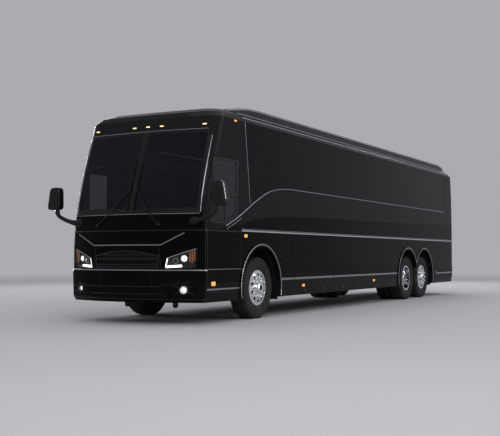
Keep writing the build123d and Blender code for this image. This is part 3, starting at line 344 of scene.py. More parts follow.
MATERIALS = {
    "paint": coach_paint_with_reflection(),
    "glass": tinted_glass("tinted_glass", 0.86, (0.004, 0.0045, 0.006), (0.050, 0.053, 0.058)),
    "windshield_glass": tinted_glass("windshield_glass", 0.58, (0.007, 0.009, 0.012), gloss=0.16),
    "cab_glass": tinted_glass("cab_glass", 0.50, (0.03, 0.034, 0.04)),
    "bright": polished("bright_moulding", (0.62, 0.63, 0.66), 0.22),
    "smoked": polished("smoked_moulding", (0.30, 0.31, 0.33), 0.25),
    "wheel": polished("polished_wheel", (0.80, 0.81, 0.83), 0.10, 40.0, 0.02),
    "chrome": polished("chrome", (0.86, 0.87, 0.88), 0.05),
    "steel": polished("bare_steel", (0.34, 0.33, 0.32), 0.42, 160.0, 0.15, 0.25),
    "mirror": polished("mirror_glass", (0.82, 0.84, 0.86), 0.02, 3.0, 0.01),
    "rubber": plastic("rubber_seal", (0.008, 0.008, 0.008), 0.6, 900.0, 0.1),
    "tyre": plastic("tyre_rubber", (0.014, 0.014, 0.015), 0.72, 500.0, 0.25, 0.22),
    "trim": plastic("black_trim", (0.007, 0.007, 0.008), 0.34, 800.0, 0.08),
    "recess": plastic("dark_recess", (0.004, 0.004, 0.0045), 0.45, 600.0, 0.10),
    "matt": plastic("matt_black", (0.006, 0.006, 0.006), 0.75, 500.0, 0.2),
    "chassis": plastic("chassis_paint", (0.018, 0.018, 0.019), 0.5, 120.0, 0.25, worn=(0.07, 0.07, 0.072)),
    "cast": plastic("cast_iron", (0.045, 0.044, 0.043), 0.62, 260.0, 0.45, 0.4),
    "bellows": plastic("bellows_rubber", (0.012, 0.012, 0.012), 0.7, 300.0, 0.2, 0.3),
    "dash": plastic("grained_dash", (0.022, 0.022, 0.024), 0.55, 1100.0, 0.3),
    "rack": plastic("rack_panel", (0.20, 0.20, 0.21), 0.5, 500.0, 0.1),
    "bay": bay_lining(),
    "floor": ribbed_vinyl(),
    "cloth": woven("seat_cloth", (0.035, 0.038, 0.052), (0.11, 0.12, 0.17), 300.0),
    "headrest": woven("headrest_leather", (0.02, 0.02, 0.022), (0.035, 0.035, 0.038), 120.0),
    "white_light": lamp_glow("white_light", (1.0, 0.98, 0.94), 3.0),
    "warm_light": lamp_glow("warm_light", (1.0, 0.60, 0.24), 2.4),
    "amber_light": lamp_glow("amber_light", (1.0, 0.40, 0.06), 0.9, 220.0),
    "red_lens": lamp_glow("red_lens", (0.55, 0.02, 0.015), 0.35, 160.0),
    "amber_lens": lamp_glow("amber_lens", (0.40, 0.10, 0.02), 0.03, 200.0),
    "clear_lens": tinted_glass("clear_lens", 0.10, (0.10, 0.105, 0.11), gloss=0.20),
    "white_lens": lamp_glow("white_lens", (0.62, 0.63, 0.65), 0.0, 150.0),
    "cabin_light": lamp_glow("cabin_light", (1.0, 0.95, 0.86), 0.08),
    "screen": lamp_glow("screen", (0.05, 0.07, 0.09), 0.3),
}
# the luggage bay doors on both sides
BAY_DOORS = [f"{name}_bay_door_{n}" for side, name in SIDES for n in (1, 2, 3)]


def both(*names):
    """What is on the left and on the right under the same name."""
    return [f"{side_name}_{name}" for name in names for side, side_name in SIDES]


NODE_FINISH = {
    "paint": ["front_bumper", "front_cap", "front_fascia", "rear_bumper", "rear_cap", "roof_panel", "engine_door",
              "entry_door", *both("lower_side", "upper_side", "rear_door"), *BAY_DOORS],
    "glass": ["right_side_glass", "left_side_glass", "rear_window"],
    "windshield_glass": ["windshield"],
    "cab_glass": ["entry_door_glass"],
    "trim": ["mirrors", "grille", "roof_fairings", "steering_wheel", "wipers"],
    "amber_light": ["marker_lamps"],
    "red_lens": ["tail_lamps"],
    "wheel": both("front_rim", "drive_rims", "tag_rim"),
    "chassis": ["underframe"],
    "cast": ["axles", "engine_block", *both("knuckle")],
    "bay": ["luggage_bays"],
    "dash": ["dashboard"],
    "rack": ["luggage_racks"],
    "floor": ["floor_structure"],
}
for finish, names in NODE_FINISH.items():
    for node in (NODES[name] for name in names):
        if not node.material_slots:
            node.data.materials.append(MATERIALS[finish])
        for material_slot in node.material_slots:
            material_slot.material = MATERIALS[finish]


# ---- making pieces
WELD = 2e-5
ROUND = {"offset_type": "OFFSET", "profile": 0.5, "affect": "EDGES", "clamp_overlap": True, "material": -1}


def mesh_of(bm, name="pattern", recalculate=True):
    """Welds a bmesh, turns its normals outwards and keeps it as a mesh."""
    bmesh.ops.remove_doubles(bm, verts=bm.verts, dist=WELD)
    if recalculate:
        bmesh.ops.recalc_face_normals(bm, faces=bm.faces)
    mesh = bpy.data.meshes.new(name)
    bm.to_mesh(mesh)
    bm.free()
    return mesh


def new_object(name, data):
    """Object in the scene's own collection."""
    obj = bpy.data.objects.new(name, data)
    bpy.context.scene.collection.objects.link(obj)
    return obj


def add_piece(name, bm, finish, body="body", sharp=38.0, replaces=(), slot=None, recalculate=True):
    """Turns a finished bmesh into a piece that rides on a body."""
    mesh = mesh_of(bm, name, recalculate)
    mesh.materials.append(MATERIALS[finish])
    mesh.shade_smooth()
    mesh.set_sharp_from_angle(angle=math.radians(sharp))
    obj = new_object(name, mesh)
    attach(obj, body)
    if replaces:
        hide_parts(*replaces)
    return obj


@contextmanager
def piece(name, finish, body="body", **options):
    """An empty bmesh that becomes a piece once it is filled."""
    bm = bmesh.new()
    yield bm
    add_piece(name, bm, finish, body, **options)


def round_edges(bm, verts, width, segments=2, angle=25.0):
    """Rounds the sharp edges that join some vertices."""
    among = set(verts)
    edges = [e for e in bm.edges if e.verts[0] in among and e.verts[1] in among
             and e.calc_face_angle(0.0) > math.radians(angle)]
    bmesh.ops.bevel(bm, geom=edges, offset=width, segments=segments, **ROUND)


def block(bm, low, high, rounded=0.0, segments=2):
    """Box between two corners with rounded edges."""
    low, high = Vector(low), Vector(high)
    place = Matrix.Translation((low + high) / 2) @ Matrix.Diagonal((*(high - low), 1.0))
    verts = bmesh.ops.create_cube(bm, size=1.0, matrix=place)["verts"]
    if rounded:
        round_edges(bm, verts, rounded, segments)


def block_at(bm, centre, half, rounded=0.0, segments=2):
    """Box about a place, by its half sizes."""
    block(bm, Vector(centre) - Vector(half), Vector(centre) + Vector(half), rounded, segments)


def facing(axis):
    """Turn that takes Z to an axis."""
    return Vector(axis).to_track_quat("Z", "Y").to_matrix().to_4x4()


def lathe(bm, profile, centre, axis=(0, 1, 0), steps=48, closed=False):
    """Turns a profile of (place along the axis, radius) about an axis."""
    axis = Vector(axis).normalized()
    place = Matrix.Translation(centre) @ facing(axis)
    verts = [bm.verts.new(place @ Vector((radius, 0.0, along))) for along, radius in profile]
    edges = [bm.edges.new(pair) for pair in zip(verts, verts[1:])]
    if closed:
        edges.append(bm.edges.new((verts[-1], verts[0])))
    bmesh.ops.spin(bm, geom=verts + edges, cent=centre, axis=axis, angle=math.tau, steps=steps, use_merge=True)


def drum(radius, low, high):
    """Profile of a plain drum."""
    return [(low, 0.0), (low, radius), (high, radius), (high, 0.0)]


def rod_between(bm, a, b, radius):
    """Round bar between two places."""
    a, b = Vector(a), Vector(b)
    lathe(bm, drum(radius, 0.0, (b - a).length), a, (b - a), 10)


def stamp(bm, pattern, place):
    """Adds a copy of a ready shape at a place."""
    placed = pattern.copy()
    placed.transform(place)
    bm.from_mesh(placed)
    bpy.data.meshes.remove(placed)


def frames_along(points, normals):
    """A frame at each point of a line: along it, across it and out from the surface."""
    frames = []
    for i, (point, normal) in enumerate(zip(points, normals)):
        along = (points[min(i + 1, len(points) - 1)] - points[max(i - 1, 0)]).normalized()
        across = normal.cross(along).normalized()
        turn = Matrix((along, across, along.cross(across))).transposed().to_4x4()
        frames.append(Matrix.Translation(point) @ turn)
    return frames


def sweep(bm, section, frames):
    """Carries a closed section of (across, out) along a row of frames and closes both ends."""
    ring = [bm.verts.new(frames[0] @ Vector((0.0, across, out))) for across, out in section]
    edges = [bm.edges.new((ring[i - 1], ring[i])) for i in range(len(ring))]
    ends = list(edges)
    for last, here in zip(frames, frames[1:]):
        made = bmesh.ops.extrude_edge_only(bm, edges=edges)["geom"]
        edges = [g for g in made if isinstance(g, BMEdge) and g.is_boundary]
        bmesh.ops.transform(bm, matrix=here @ last.inverted(), verts=[g for g in made if isinstance(g, BMVert)])
    bmesh.ops.holes_fill(bm, edges=ends + edges, sides=len(section))


def lay(bm, section, met):
    """Carries a section along surface places, each given with its normal."""
    sweep(bm, section, frames_along(*zip(*met)))


def lay_facing(bm, section, line, out=(1, 0, 0)):
    """Carries a section along a line in space, facing one way throughout."""
    lay(bm, section, [(place, Vector(out)) for place in line])


def pulled_face(bm, places, vector):
    """Solid made by pulling a flat outline along a vector. Returns its far vertices."""
    face = bm.faces.new([bm.verts.new(place) for place in places])
    far = [g for g in bmesh.ops.extrude_face_region(bm, geom=[face])["geom"] if isinstance(g, BMVert)]
    bmesh.ops.translate(bm, vec=vector, verts=far)
    return far


def smooth_line(places, step):
    """Points close together on a smooth line through some places."""
    places = [Vector((*p, 0.0)[:3]) for p in places]
    line = []
    for i in range(len(places) - 1):
        a, b = places[i], places[i + 1]
        before, after = places[max(i - 1, 0)], places[min(i + 2, len(places) - 1)]
        count = max(2, round((b - a).length / step) + 1)
        line += interpolate_bezier(a, a + (b - before) / 6, b - (after - a) / 6, b, count)[:-1]
    return line + [places[-1]]


def straight_line(places, step):
    """Points along straight runs."""
    places = [Vector((*p, 0.0)[:3]) for p in places]
    line = []
    for a, b in zip(places, places[1:]):
        count = max(1, round((b - a).length / step))
        line += [a.lerp(b, i / count) for i in range(count)]
    return line + [places[-1]]


def bead(width, proud, sunk=0.003):
    """Section of a moulding: a low crown with its foot below the surface."""
    half = width / 2
    return [(-half, -sunk), (-half, proud * 0.35), (-half * 0.72, proud * 0.85), (-half * 0.3, proud),
            (half * 0.3, proud), (half * 0.72, proud * 0.85), (half, proud * 0.35), (half, -sunk)]


def strip(width, proud, sunk=0.003):
    """Section of a flat strip."""
    half = width / 2
    return [(-half, -sunk), (-half, proud), (half, proud), (half, -sunk)]


def oval(across, out, sides=8):
    """Round or oval section."""
    return [(across * math.cos(math.tau * i / sides), out * math.sin(math.tau * i / sides)) for i in range(sides)]


# ---- the body's outer surface
SKIN_NODES = [*NODE_FINISH["paint"], *NODE_FINISH["glass"], "windshield", "entry_door_glass", "front_lamps",
              "roof_fairings"]
SEAM_NUDGES = (0.0, 0.012, -0.012, 0.03, -0.03)
SEAM_DEPTH = 0.06
# places clear of the body, and how far from the upright axis that the nose's mouldings turn about
OUTSIDE_X, OUTSIDE_Y, OUTSIDE_Z = 9.0, 2.5, 6.0
OUTSIDE_R = 5.0
NOSE_AXIS_X = FASCIA_SEAM_X - 1.2
BODY_HALF_Y = 1.3
UP = Vector((0, 0, 1))
FORWARD = Vector((1, 0, 0))


def surface_of(names):
    """Search tree over some of the model's nodes."""
    bm = bmesh.new()
    for name in names:
        bm.from_mesh(NODES[name].data)
    tree = BVHTree.FromBMesh(bm)
    bm.free()
    return tree


SKIN = surface_of(SKIN_NODES)


def touch(origin, direction, slide):
    """Where a line from outside meets the skin, sliding past the open seams between panels."""
    best = None
    for nudge in SEAM_NUDGES:
        hit, normal, _, depth = SKIN.ray_cast(origin + slide * nudge, direction)
        if hit and (best is None or depth < best[2] - SEAM_DEPTH / 2):
            best = (hit - slide * nudge, normal, depth)
    point, normal, _ = best
    return point, (-normal if normal.dot(direction) > 0 else normal)


def on_side(x, z, side):
    """Point and outward normal on the body's side."""
    return touch(Vector((x, side * OUTSIDE_Y, z)), Vector((0, -side, 0)), FORWARD)


def on_nose(y, z):
    """Point and outward normal on the body's nose."""
    return touch(Vector((OUTSIDE_X, y, z)), -FORWARD, UP)


def on_tail(y, z):
    """Point and outward normal on the body's tail."""
    return touch(Vector((-OUTSIDE_X, y, z)), FORWARD, UP)


def run_on_side(bm, section, places, side, step=0.12, smooth=False):
    """A moulding along the body's side, through places given as distance ahead of the front axle and height."""
    line = smooth_line(places, step) if smooth else straight_line(places, step)
    lay(bm, section, [on_side(ahead(p.x), p.y, side) for p in line])


def run_on_nose(bm, section, places, step=0.05):
    """The same along the nose, through places given as distance across and height."""
    lay(bm, section, [on_nose(p.x, p.y) for p in straight_line(places, step)])


def run_on_tail(bm, section, places, step=0.06):
    """The same along the tail."""
    lay(bm, section, [on_tail(p.x, p.y) for p in straight_line(places, step)])


def run_on_roof(bm, section, x, half, steps=20):
    """A strip across the roof."""
    lay(bm, section, [touch(Vector((x, half * (1 - 2 * i / steps), OUTSIDE_Z)), -UP, FORWARD)
                      for i in range(steps + 1)])


def run_round_nose(bm, section, z, rear_x, steps=110):
    """A moulding from one side round the nose to the other at one height."""
    centre = Vector((NOSE_AXIS_X, 0.0, z))
    reach = math.atan2(BODY_HALF_Y, rear_x - centre.x)
    met = []
    for i in range(steps + 1):
        a = reach * (1 - 2 * i / steps)
        out = Vector((math.cos(a), math.sin(a), 0.0))
        met.append(touch(centre + out * OUTSIDE_R, -out, UP))
    lay(bm, section, met)


def run_round(run, bm, section, outline, *rest):
    """Straight runs round a closed outline."""
    for ends in zip(outline, outline[1:] + outline[:1]):
        run(bm, section, ends, *rest)


# ---- mouldings along the sides
# places are given as distance ahead of the front axle and height
BELT_ENDS = (0.72, -11.97)
LOWER_MOULDING_Z = 0.66
SWOOSH = ((0.72, 1.76), (0.45, 1.89), (0.17, 2.02), (-0.28, 2.19), (-0.69, 2.265), (-1.11, 2.292), (-1.6, 2.295))
SWOOSH_TAIL = ((-1.6, 2.295), (-11.05, 2.295))
SWOOSH_FOOT = ((1.23, 1.56), (0.98, 1.655), (0.72, 1.76))
SECOND_FOOT = [(d - 0.02, z - 0.055) for d, z in SWOOSH_FOOT]
COVE_HEIGHTS = (3.405, 3.488)
SEAM_TOP_Z = 1.462
FAIRING_EDGE = ((0.85, 3.497), (0.40, 3.570), (0.10, 3.606), (-0.3, 3.622), (-11.1, 3.622), (-11.38, 3.598))
FLAP = ((-0.855, SEAM_TOP_Z), (-0.855, 1.07), (-0.872, 1.03), (-0.91, 1.01), (-1.03, 1.01), (-1.068, 1.03),
        (-1.085, 1.07), (-1.085, SEAM_TOP_Z))
LATCH_Z = 0.435
# distance across of the bay doors' inner frames
UPRIGHT_Y, CROSSBAR_Y = 1.215, 1.218
ARCH_EDGE_R = 0.742
TANDEM_MEET = math.degrees(math.acos((DRIVE_AXLE_X - TAG_AXLE_X) / 2 / ARCH_EDGE_R))


def level(z, ends=BELT_ENDS):
    """Two places at one height."""
    return [(ends[0], z), (ends[1], z)]


def seam(bm, places, side, width=0.008):
    """Dark seam line on the body's side."""
    run_on_side(bm, strip(width, 0.0012), places, side, 0.08)


def latch(bm, x, z, side):
    """Paddle latch let into a door."""
    point, normal = on_side(x, z, side)
    block_at(bm, point, (0.055, 0.006, 0.022), 0.005)
    block_at(bm, point + normal * 0.008, (0.038, 0.004, 0.013), 0.003)


def arc(middle_x, radius, low, high, steps):
    """Places and angles along an arc about a wheel's axis, from one angle to another."""
    angles = [math.radians(low + (high - low) * i / steps) for i in range(steps + 1)]
    return [(middle_x + radius * math.cos(a), TYRE_R + radius * math.sin(a), a) for a in angles]


def wheel_arches(overlap, beyond):
    """Each wheel arch's axle and the angles at its two ends."""
    return ((FRONT_AXLE_X, -beyond, 180.0 + beyond), (DRIVE_AXLE_X, -beyond, 180.0 - TANDEM_MEET + overlap),
            (TAG_AXLE_X, TANDEM_MEET - overlap, 180.0 + beyond))


for side, name in SIDES:
    with piece(f"{name}_belt_moulding", "bright") as bm:
        run_on_side(bm, bead(0.030, 0.013), level(BELT_Z + 0.030), side)
    with piece(f"{name}_swoosh_moulding", "smoked") as bm:
        run_on_side(bm, bead(0.012, 0.004), level(BELT_Z + 0.058), side)
        run_on_side(bm, bead(0.020, 0.009), SWOOSH, side, 0.05, True)
        run_on_side(bm, bead(0.020, 0.009), SWOOSH_TAIL, side)
        if side > 0:
            run_on_side(bm, bead(0.022, 0.009), SWOOSH_FOOT, side, 0.05, True)
            run_on_side(bm, bead(0.012, 0.005), SECOND_FOOT, side, 0.05, True)
    # bright beads along the roof cove and the fairing's top edge: painted reflections on the cove's slanted faces and
    # a painted highlight on the fairing's edge
    with piece(f"{name}_roof_painted_highlights", "bright") as bm:
        for z in COVE_HEIGHTS:
            run_on_side(bm, bead(0.016, 0.006), level(z, (0.55, -11.6)), side)
        run_on_side(bm, bead(0.014, 0.005), FAIRING_EDGE, side)
    with piece(f"{name}_glass_front_edge", "smoked") as bm:
        run_on_side(bm, bead(0.012, 0.005), [(0.553, 3.322), (0.41, 1.96)], side, 0.1)
    with piece(f"{name}_skirt_mouldings", "smoked") as bm:
        run_on_side(bm, bead(0.040, 0.012), level(LOWER_MOULDING_Z, (-0.765, -1.285)), side)
        run_on_side(bm, bead(0.034, 0.011), level(0.612, (-10.2, -11.72)), side)
        if side > 0:
            run_on_side(bm, bead(0.030, 0.010), level(0.55, (1.80, 0.765)), side)
            run_on_side(bm, bead(0.014, 0.006), level(0.865, (1.80, 0.735)), side)
    with piece(f"{name}_panel_seams", "recess") as bm:
        seam(bm, FLAP, side)
        seam(bm, [(-0.765, SEAM_TOP_Z), (-0.765, 0.70)], side)
        if side > 0:
            seam(bm, [(0.735, SEAM_TOP_Z), (0.735, 0.60)], side)
            seam(bm, [(1.800, SEAM_TOP_Z), (1.800, 0.36)], side, 0.016)
            seam(bm, level(0.500, (0.745, 1.795)), side)
        seam(bm, [(-10.10, SEAM_TOP_Z), (-10.10, 0.66)], side)
        seam(bm, [(-11.05, 3.31), (-11.05, 2.31)], side)
        seam(bm, [(-11.82, 3.31), (-11.82, 1.52)], side)
    with piece(f"{name}_arch_edging", "smoked") as bm:
        for axle, low, high in wheel_arches(0.0, 12.0):
            places = [(x, z) for x, z, a in arc(axle - FRONT_AXLE_X, ARCH_EDGE_R, low, high, 44)]
            run_on_side(bm, bead(0.024, 0.005), places, side, 0.2)
    with piece(f"{name}_rear_door_latch", "trim", f"{name}_rear_door") as bm:
        latch(bm, ahead(-11.0), 0.70, side)
    for n, (front_x, rear_x) in enumerate(BAYS, 1):
        door = f"{name}_bay_door_{n}"
        with piece(f"{door}_moulding", "smoked", door) as bm:
            ends = (front_x - FRONT_AXLE_X - 0.012, rear_x - FRONT_AXLE_X + 0.012)
            run_on_side(bm, bead(0.040, 0.012), level(LOWER_MOULDING_Z, ends), side)
        with piece(f"{door}_latches", "trim", door) as bm:
            for shift in (-0.45, 0.45):
                latch(bm, (front_x + rear_x) / 2 + shift, LATCH_Z, side)
        with piece(f"{door}_frame", "bay", door) as bm:
            for x in (front_x - 0.10, (front_x + rear_x) / 2, rear_x + 0.10):
                block_at(bm, (x, side * UPRIGHT_Y, 0.91), (0.03, 0.012, 0.45), 0.005, 1)
            for z in (0.50, 0.90, 1.30):
                block_at(bm, ((front_x + rear_x) / 2, side * CROSSBAR_Y, z),
                         ((front_x - rear_x) / 2 - 0.08, 0.010, 0.025), 0.005, 1)

# ---- driver's window and entry door glass
WINDOW_FRAME = ((0.80, 2.63), (0.87, 1.745), (1.25, 1.60), (1.725, 1.615), (1.57, 2.63))
SASH_LINE = ((0.875, 2.60), (0.925, 1.76), (1.26, 1.635), (1.69, 1.645), (1.55, 2.60))
DOOR_GLASS = ((0.94, 0.70), (1.53, 0.70), (1.53, 2.51), (0.94, 2.51))
with piece("driver_window_frame", "trim") as bm:
    run_round(run_on_side, bm, bead(0.026, 0.007), WINDOW_FRAME, 1, 0.1)
with piece("driver_window_sash", "rubber") as bm:
    run_on_side(bm, strip(0.028, 0.007), [(0.855, 2.05), (1.26, 2.05)], 1, 0.1)
    run_on_side(bm, strip(0.022, 0.007), [(1.27, 2.06), (1.27, 1.61)], 1, 0.1)
    run_on_side(bm, strip(0.020, 0.006), SASH_LINE, 1, 0.1)
with piece("entry_door_glass_seal", "rubber", "entry_door") as bm:
    run_round(run_on_side, bm, bead(0.026, 0.006), DOOR_GLASS, -1)
with piece("entry_door_handle", "chrome", "entry_door") as bm:
    door_y = on_side(ahead(0.93), 1.30, -1)[0].y
    block(bm, (ahead(0.885), door_y - 0.010, 1.18), (ahead(0.935), door_y + 0.004, 1.36), 0.006, 2)

# ---- nose: seals, divider, creases and mouldings
# places are given as distance across and height
GLASS_EDGE = ((1.165, 1.765), (1.170, 3.00), (1.13, 3.078), (0.0, 3.087), (-1.13, 3.078), (-1.170, 3.00),
              (-1.165, 1.765))
V_LINE = ((-1.09, 1.435), (-0.655, 1.246), (0.640, 1.246), (0.99, 1.435))
BUMPER_CREASES = (((-0.86, 0.595), (0.60, 0.600)), ((0.60, 0.600), (0.80, 0.640), (1.10, 0.665)),
                  ((-0.86, 0.595), (-1.05, 0.655)), ((-0.70, 0.485), (0.70, 0.485)))
with piece("windshield_border", "recess") as bm:
    for ends in zip(GLASS_EDGE, GLASS_EDGE[1:]):
        run_on_nose(bm, strip(0.055, 0.0015), ends, 0.06)
    run_on_nose(bm, strip(0.075, 0.0015), level(1.795, (-1.175, 1.175)), 0.06)
    run_on_nose(bm, strip(0.130, 0.0018), [(0.0, 1.77), (0.0, 3.09)], 0.06)
with piece("windshield_seal", "rubber") as bm:
    run_on_nose(bm, bead(0.034, 0.010), [(0.0, 1.765), (0.0, 3.10)], 0.06)
    run_on_nose(bm, bead(0.022, 0.006), level(1.757, (-1.185, 1.185)), 0.06)
    for across in (-0.030, 0.030):
        run_on_nose(bm, bead(0.010, 0.004), [(across, 1.80), (across, 3.06)], 0.06)
# smoked beads along the brow, the side edges and the foot of the windshield: painted highlights where the curved
# glass edges catch the light
with piece("windshield_bright_edge", "smoked") as bm:
    run_on_nose(bm, bead(0.014, 0.006), [(-1.14, 3.112), (0.0, 3.118), (1.14, 3.112)], 0.06)
    for side, name in SIDES:
        run_on_nose(bm, bead(0.016, 0.006), [(side * 1.203, 1.76), (side * 1.208, 3.0)], 0.06)
    run_on_nose(bm, bead(0.012, 0.004), level(1.738, (-1.195, 1.195)), 0.06)
# smoked bead along the fascia's V crease: partly the crease's ridge, partly a painted highlight along it
with piece("fascia_crease_painted_highlight", "smoked") as bm:
    run_on_nose(bm, bead(0.020, 0.008), V_LINE, 0.04)
# the smoked bead round the bumper's top shoulder is a painted highlight; the cowl lip and the bumper lip are black
# trim
ROUND_NOSE = (("cowl_lip", "trim", bead(0.020, 0.007), BELT_Z + 0.012, 0.73),
              ("bumper_top_moulding", "smoked", bead(0.026, 0.009), BUMPER_TOP + 0.011, 1.815),
              ("bumper_lip", "trim", bead(0.018, 0.005), 0.402, 1.815))
for name, finish, section, z, rear in ROUND_NOSE:
    with piece(name, finish) as bm:
        run_round_nose(bm, section, z, ahead(rear))
with piece("bumper_creases", "trim", slot="body_black") as bm:
    for places in BUMPER_CREASES:
        run_on_nose(bm, bead(0.014, 0.005), places, 0.04)
    for side, name in SIDES:
        run_on_nose(bm, bead(0.012, 0.005), [(side * 0.600, 1.235), (side * 0.648, 0.87)], 0.04)
        run_on_nose(bm, bead(0.010, 0.004), [(side * 0.48, 0.80), (side * 0.50, 0.62)], 0.04)

# ---- grille
FASCIA_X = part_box("front_fascia")[1].x
GRILLE_BAR_Z = 1.030
GRILLE_HALF = 0.60
NOSE_BOW_R = 2.8
MESH_DEPTH = 0.034


def behind_grille(y, z, depth):
    """Place behind the grille's bowed face."""
    return Vector((FASCIA_X - depth - (NOSE_BOW_R - math.sqrt(NOSE_BOW_R ** 2 - y * y)), y, z))


def run_across_grille(bm, section, z, depth):
    """A bar from one side of the grille to the other."""
    lay_facing(bm, section, [behind_grille(GRILLE_HALF * (i / 10 - 1), z, depth) for i in range(21)])


with piece("grille_bright_bar", "trim") as bm:
    run_across_grille(bm, bead(0.022, 0.007), GRILLE_BAR_Z, 0.0)
with piece("grille_mesh", "trim") as bm:
    for i in range(46):
        y = -0.585 + i * 0.026
        foot = behind_grille(y, 0.0, MESH_DEPTH).x
        block(bm, (foot - 0.004, y - 0.002, 0.888), (foot + 0.002, y + 0.002, 1.15 - 0.07 * abs(y)))
    for i in range(11):
        run_across_grille(bm, strip(0.004, 0.004, 0.002), 0.895 + i * 0.0215, MESH_DEPTH)
with piece("grille_radiator_panel", "matt") as bm:
    core_x = behind_grille(GRILLE_HALF, 0.0, 0.0).x
    block(bm, (core_x - 0.110, -GRILLE_HALF, 0.875), (core_x - 0.070, GRILLE_HALF, 1.165), 0.01)


# ---- head and fog lamps
def lamp_shell(name, outer, finish, slot, thickness):
    """Outer faces of the lamp bodies as lenses, or their other faces as buckets, with a thin wall."""
    bm = bmesh.new()
    bm.from_mesh(NODES["front_lamps"].data)
    bmesh.ops.remove_doubles(bm, verts=bm.verts, dist=WELD)
    doomed = []
    for face in bm.faces:
        centre = face.calc_center_median()
        if (abs(on_nose(centre.y, centre.z)[0].x - centre.x) < 0.006) != outer:
            doomed.append(face)
    bmesh.ops.delete(bm, geom=doomed, context="FACES")
    shell = add_piece(name, bm, finish, replaces=("front_lamps",), recalculate=False, slot=slot)
    wall = shell.modifiers.new("wall", "SOLIDIFY")
    wall.thickness, wall.offset = thickness, -1.0


lamp_shell("lamp_lenses", True, "clear_lens", "lamp_clear", 0.003)
lamp_shell("lamp_buckets", False, "trim", "trim_black", 0.002)


def inward(y, z, depth):
    """Place under the nose's surface and the direction it faces."""
    point, normal = on_nose(y, z)
    return point - normal * depth, normal


def run_inward(bm, section, places, side, depth):
    """A bar under the nose's surface."""
    lay(bm, section, [inward(side * p.x, p.y, depth) for p in straight_line(places, 0.03)])


PROJECTOR = (0.998, 1.036)
SMALL_PROJECTOR = (0.868, 1.000)
FOG = (1.0, 0.55)
# which part a turned shape belongs to, its place, its depth, its profile, its steps and whether it is a ring
TURNED = (
    ("reflectors", PROJECTOR, 0.040,
     ((0.0, 0.046), (0.022, 0.056), (0.027, 0.056), (0.027, 0.050), (0.010, 0.040), (0.0, 0.040)), 40, True),
    ("lights", PROJECTOR, 0.040,
     ((0.006, 0.0), (0.006, 0.038), (0.016, 0.036), (0.026, 0.026), (0.031, 0.012), (0.032, 0.0)), 36, False),
    ("trims", SMALL_PROJECTOR, 0.042,
     ((0.0, 0.036), (0.018, 0.043), (0.022, 0.043), (0.022, 0.037), (0.006, 0.030), (0.0, 0.030)), 32, True),
    ("inside", SMALL_PROJECTOR, 0.042,
     ((0.002, 0.0), (0.002, 0.029), (0.012, 0.024), (0.016, 0.010), (0.017, 0.0)), 28, False),
    ("reflectors", FOG, 0.038,
     ((0.0, 0.036), (0.020, 0.050), (0.028, 0.056), (0.031, 0.056), (0.031, 0.060), (0.0, 0.062)), 36, True),
    ("lights", FOG, 0.038, ((0.004, 0.0), (0.004, 0.034), (0.014, 0.030), (0.020, 0.016), (0.022, 0.0)), 30, False),
)
# the light bar along the lower edge, its thin guide up the inner edge and a bright strip along the top
BARS = (("lights", strip(0.036, 0.010, 0.004), ((0.722, 0.908), (0.965, 0.922)), 0.016),
        ("lights", strip(0.012, 0.010, 0.004), ((0.716, 0.906), (0.746, 1.038)), 0.014),
        ("trims", strip(0.008, 0.006, 0.004), ((0.748, 1.042), (0.98, 1.126), (1.170, 1.186)), 0.010))
AMBER_UPRIGHTS = ((1.085, 0.985, 1.140), (1.118, 0.965, 1.155), (1.148, 1.000, 1.165))
FOG_RING = ((-0.004, 0.062), (0.006, 0.064), (0.009, 0.070), (0.006, 0.078), (-0.004, 0.080))
LAMP_PARTS = {"trims": ("chrome", "lamp_clear"), "reflectors": ("smoked", "lamp_clear"),
              "lights": ("white_light", "lamp_clear"), "inside": ("trim", "trim_black"),
              "amber": ("amber_lens", "lamp_amber")}
for side, name in SIDES:
    parts = {part: bmesh.new() for part in LAMP_PARTS}
    for part, (y, z), depth, profile, steps, ring in TURNED:
        place, normal = inward(side * y, z, depth)
        lathe(parts[part], profile, place, normal, steps, closed=ring)
    for part, section, places, depth in BARS:
        run_inward(parts[part], section, places, side, depth)
    # cooling fins behind the small projector
    for i in range(9):
        place, normal = inward(side * (0.775 + i * 0.021), 1.052 + i * 0.006, 0.034)
        block(parts["inside"], place - Vector((0.014, 0.004, 0.030)), place + Vector((0.014, 0.004, 0.020)), 0.002, 1)
    for y, low, high in AMBER_UPRIGHTS:
        lay(parts["amber"], bead(0.024, 0.007),
            [inward(side * y, low + (high - low) * i / 6, 0.013) for i in range(7)])
    for part, (finish, slot) in LAMP_PARTS.items():
        add_piece(f"{name}_lamp_{part}", parts[part], finish, slot=slot)
    # crossed fins round the fog lamp
    with piece(f"{name}_fog_bezel", "trim") as bm:
        for angle in (26.0, 154.0, 206.0, 334.0):
            a = math.radians(angle)
            ends = [(side * (FOG[0] + r * math.cos(a)), FOG[1] + r * math.sin(a)) for r in (0.066, 0.165)]
            run_on_nose(bm, bead(0.018, 0.010), ends, 0.03)
        point, normal = on_nose(side * FOG[0], FOG[1])
        lathe(bm, FOG_RING, point, normal, 40, closed=True)

# ---- clearance lamps and side markers
CAP_LAMPS = ((0.0, 3.195), (0.270, 3.192), (-0.270, 3.192), (1.060, 3.185), (-1.060, 3.185))
# distance ahead of the front axle, height, half length, half height and side
BODY_MARKERS = ((0.570, 1.410, 0.052, 0.026, 1), (0.570, 1.410, 0.052, 0.026, -1), (1.620, 0.640, 0.060, 0.032, 1),
                (0.890, 3.300, 0.040, 0.014, 1), (0.890, 3.300, 0.040, 0.014, -1))
DOOR_MARKERS = ((1, -1.690, 0.525), (3, -5.430, 0.530))
IN_PLACE_OF = {"replaces": ("marker_lamps",)}


def side_marker(housing, lens, distance, z, half_x, half_z, side):
    """Amber lens in a thin dark tray."""
    point, normal = on_side(ahead(distance), z, side)
    block_at(housing, point, (half_x + 0.007, 0.006, half_z + 0.007), 0.003)
    block_at(lens, point, (half_x, 0.011, half_z), 0.005, 3)


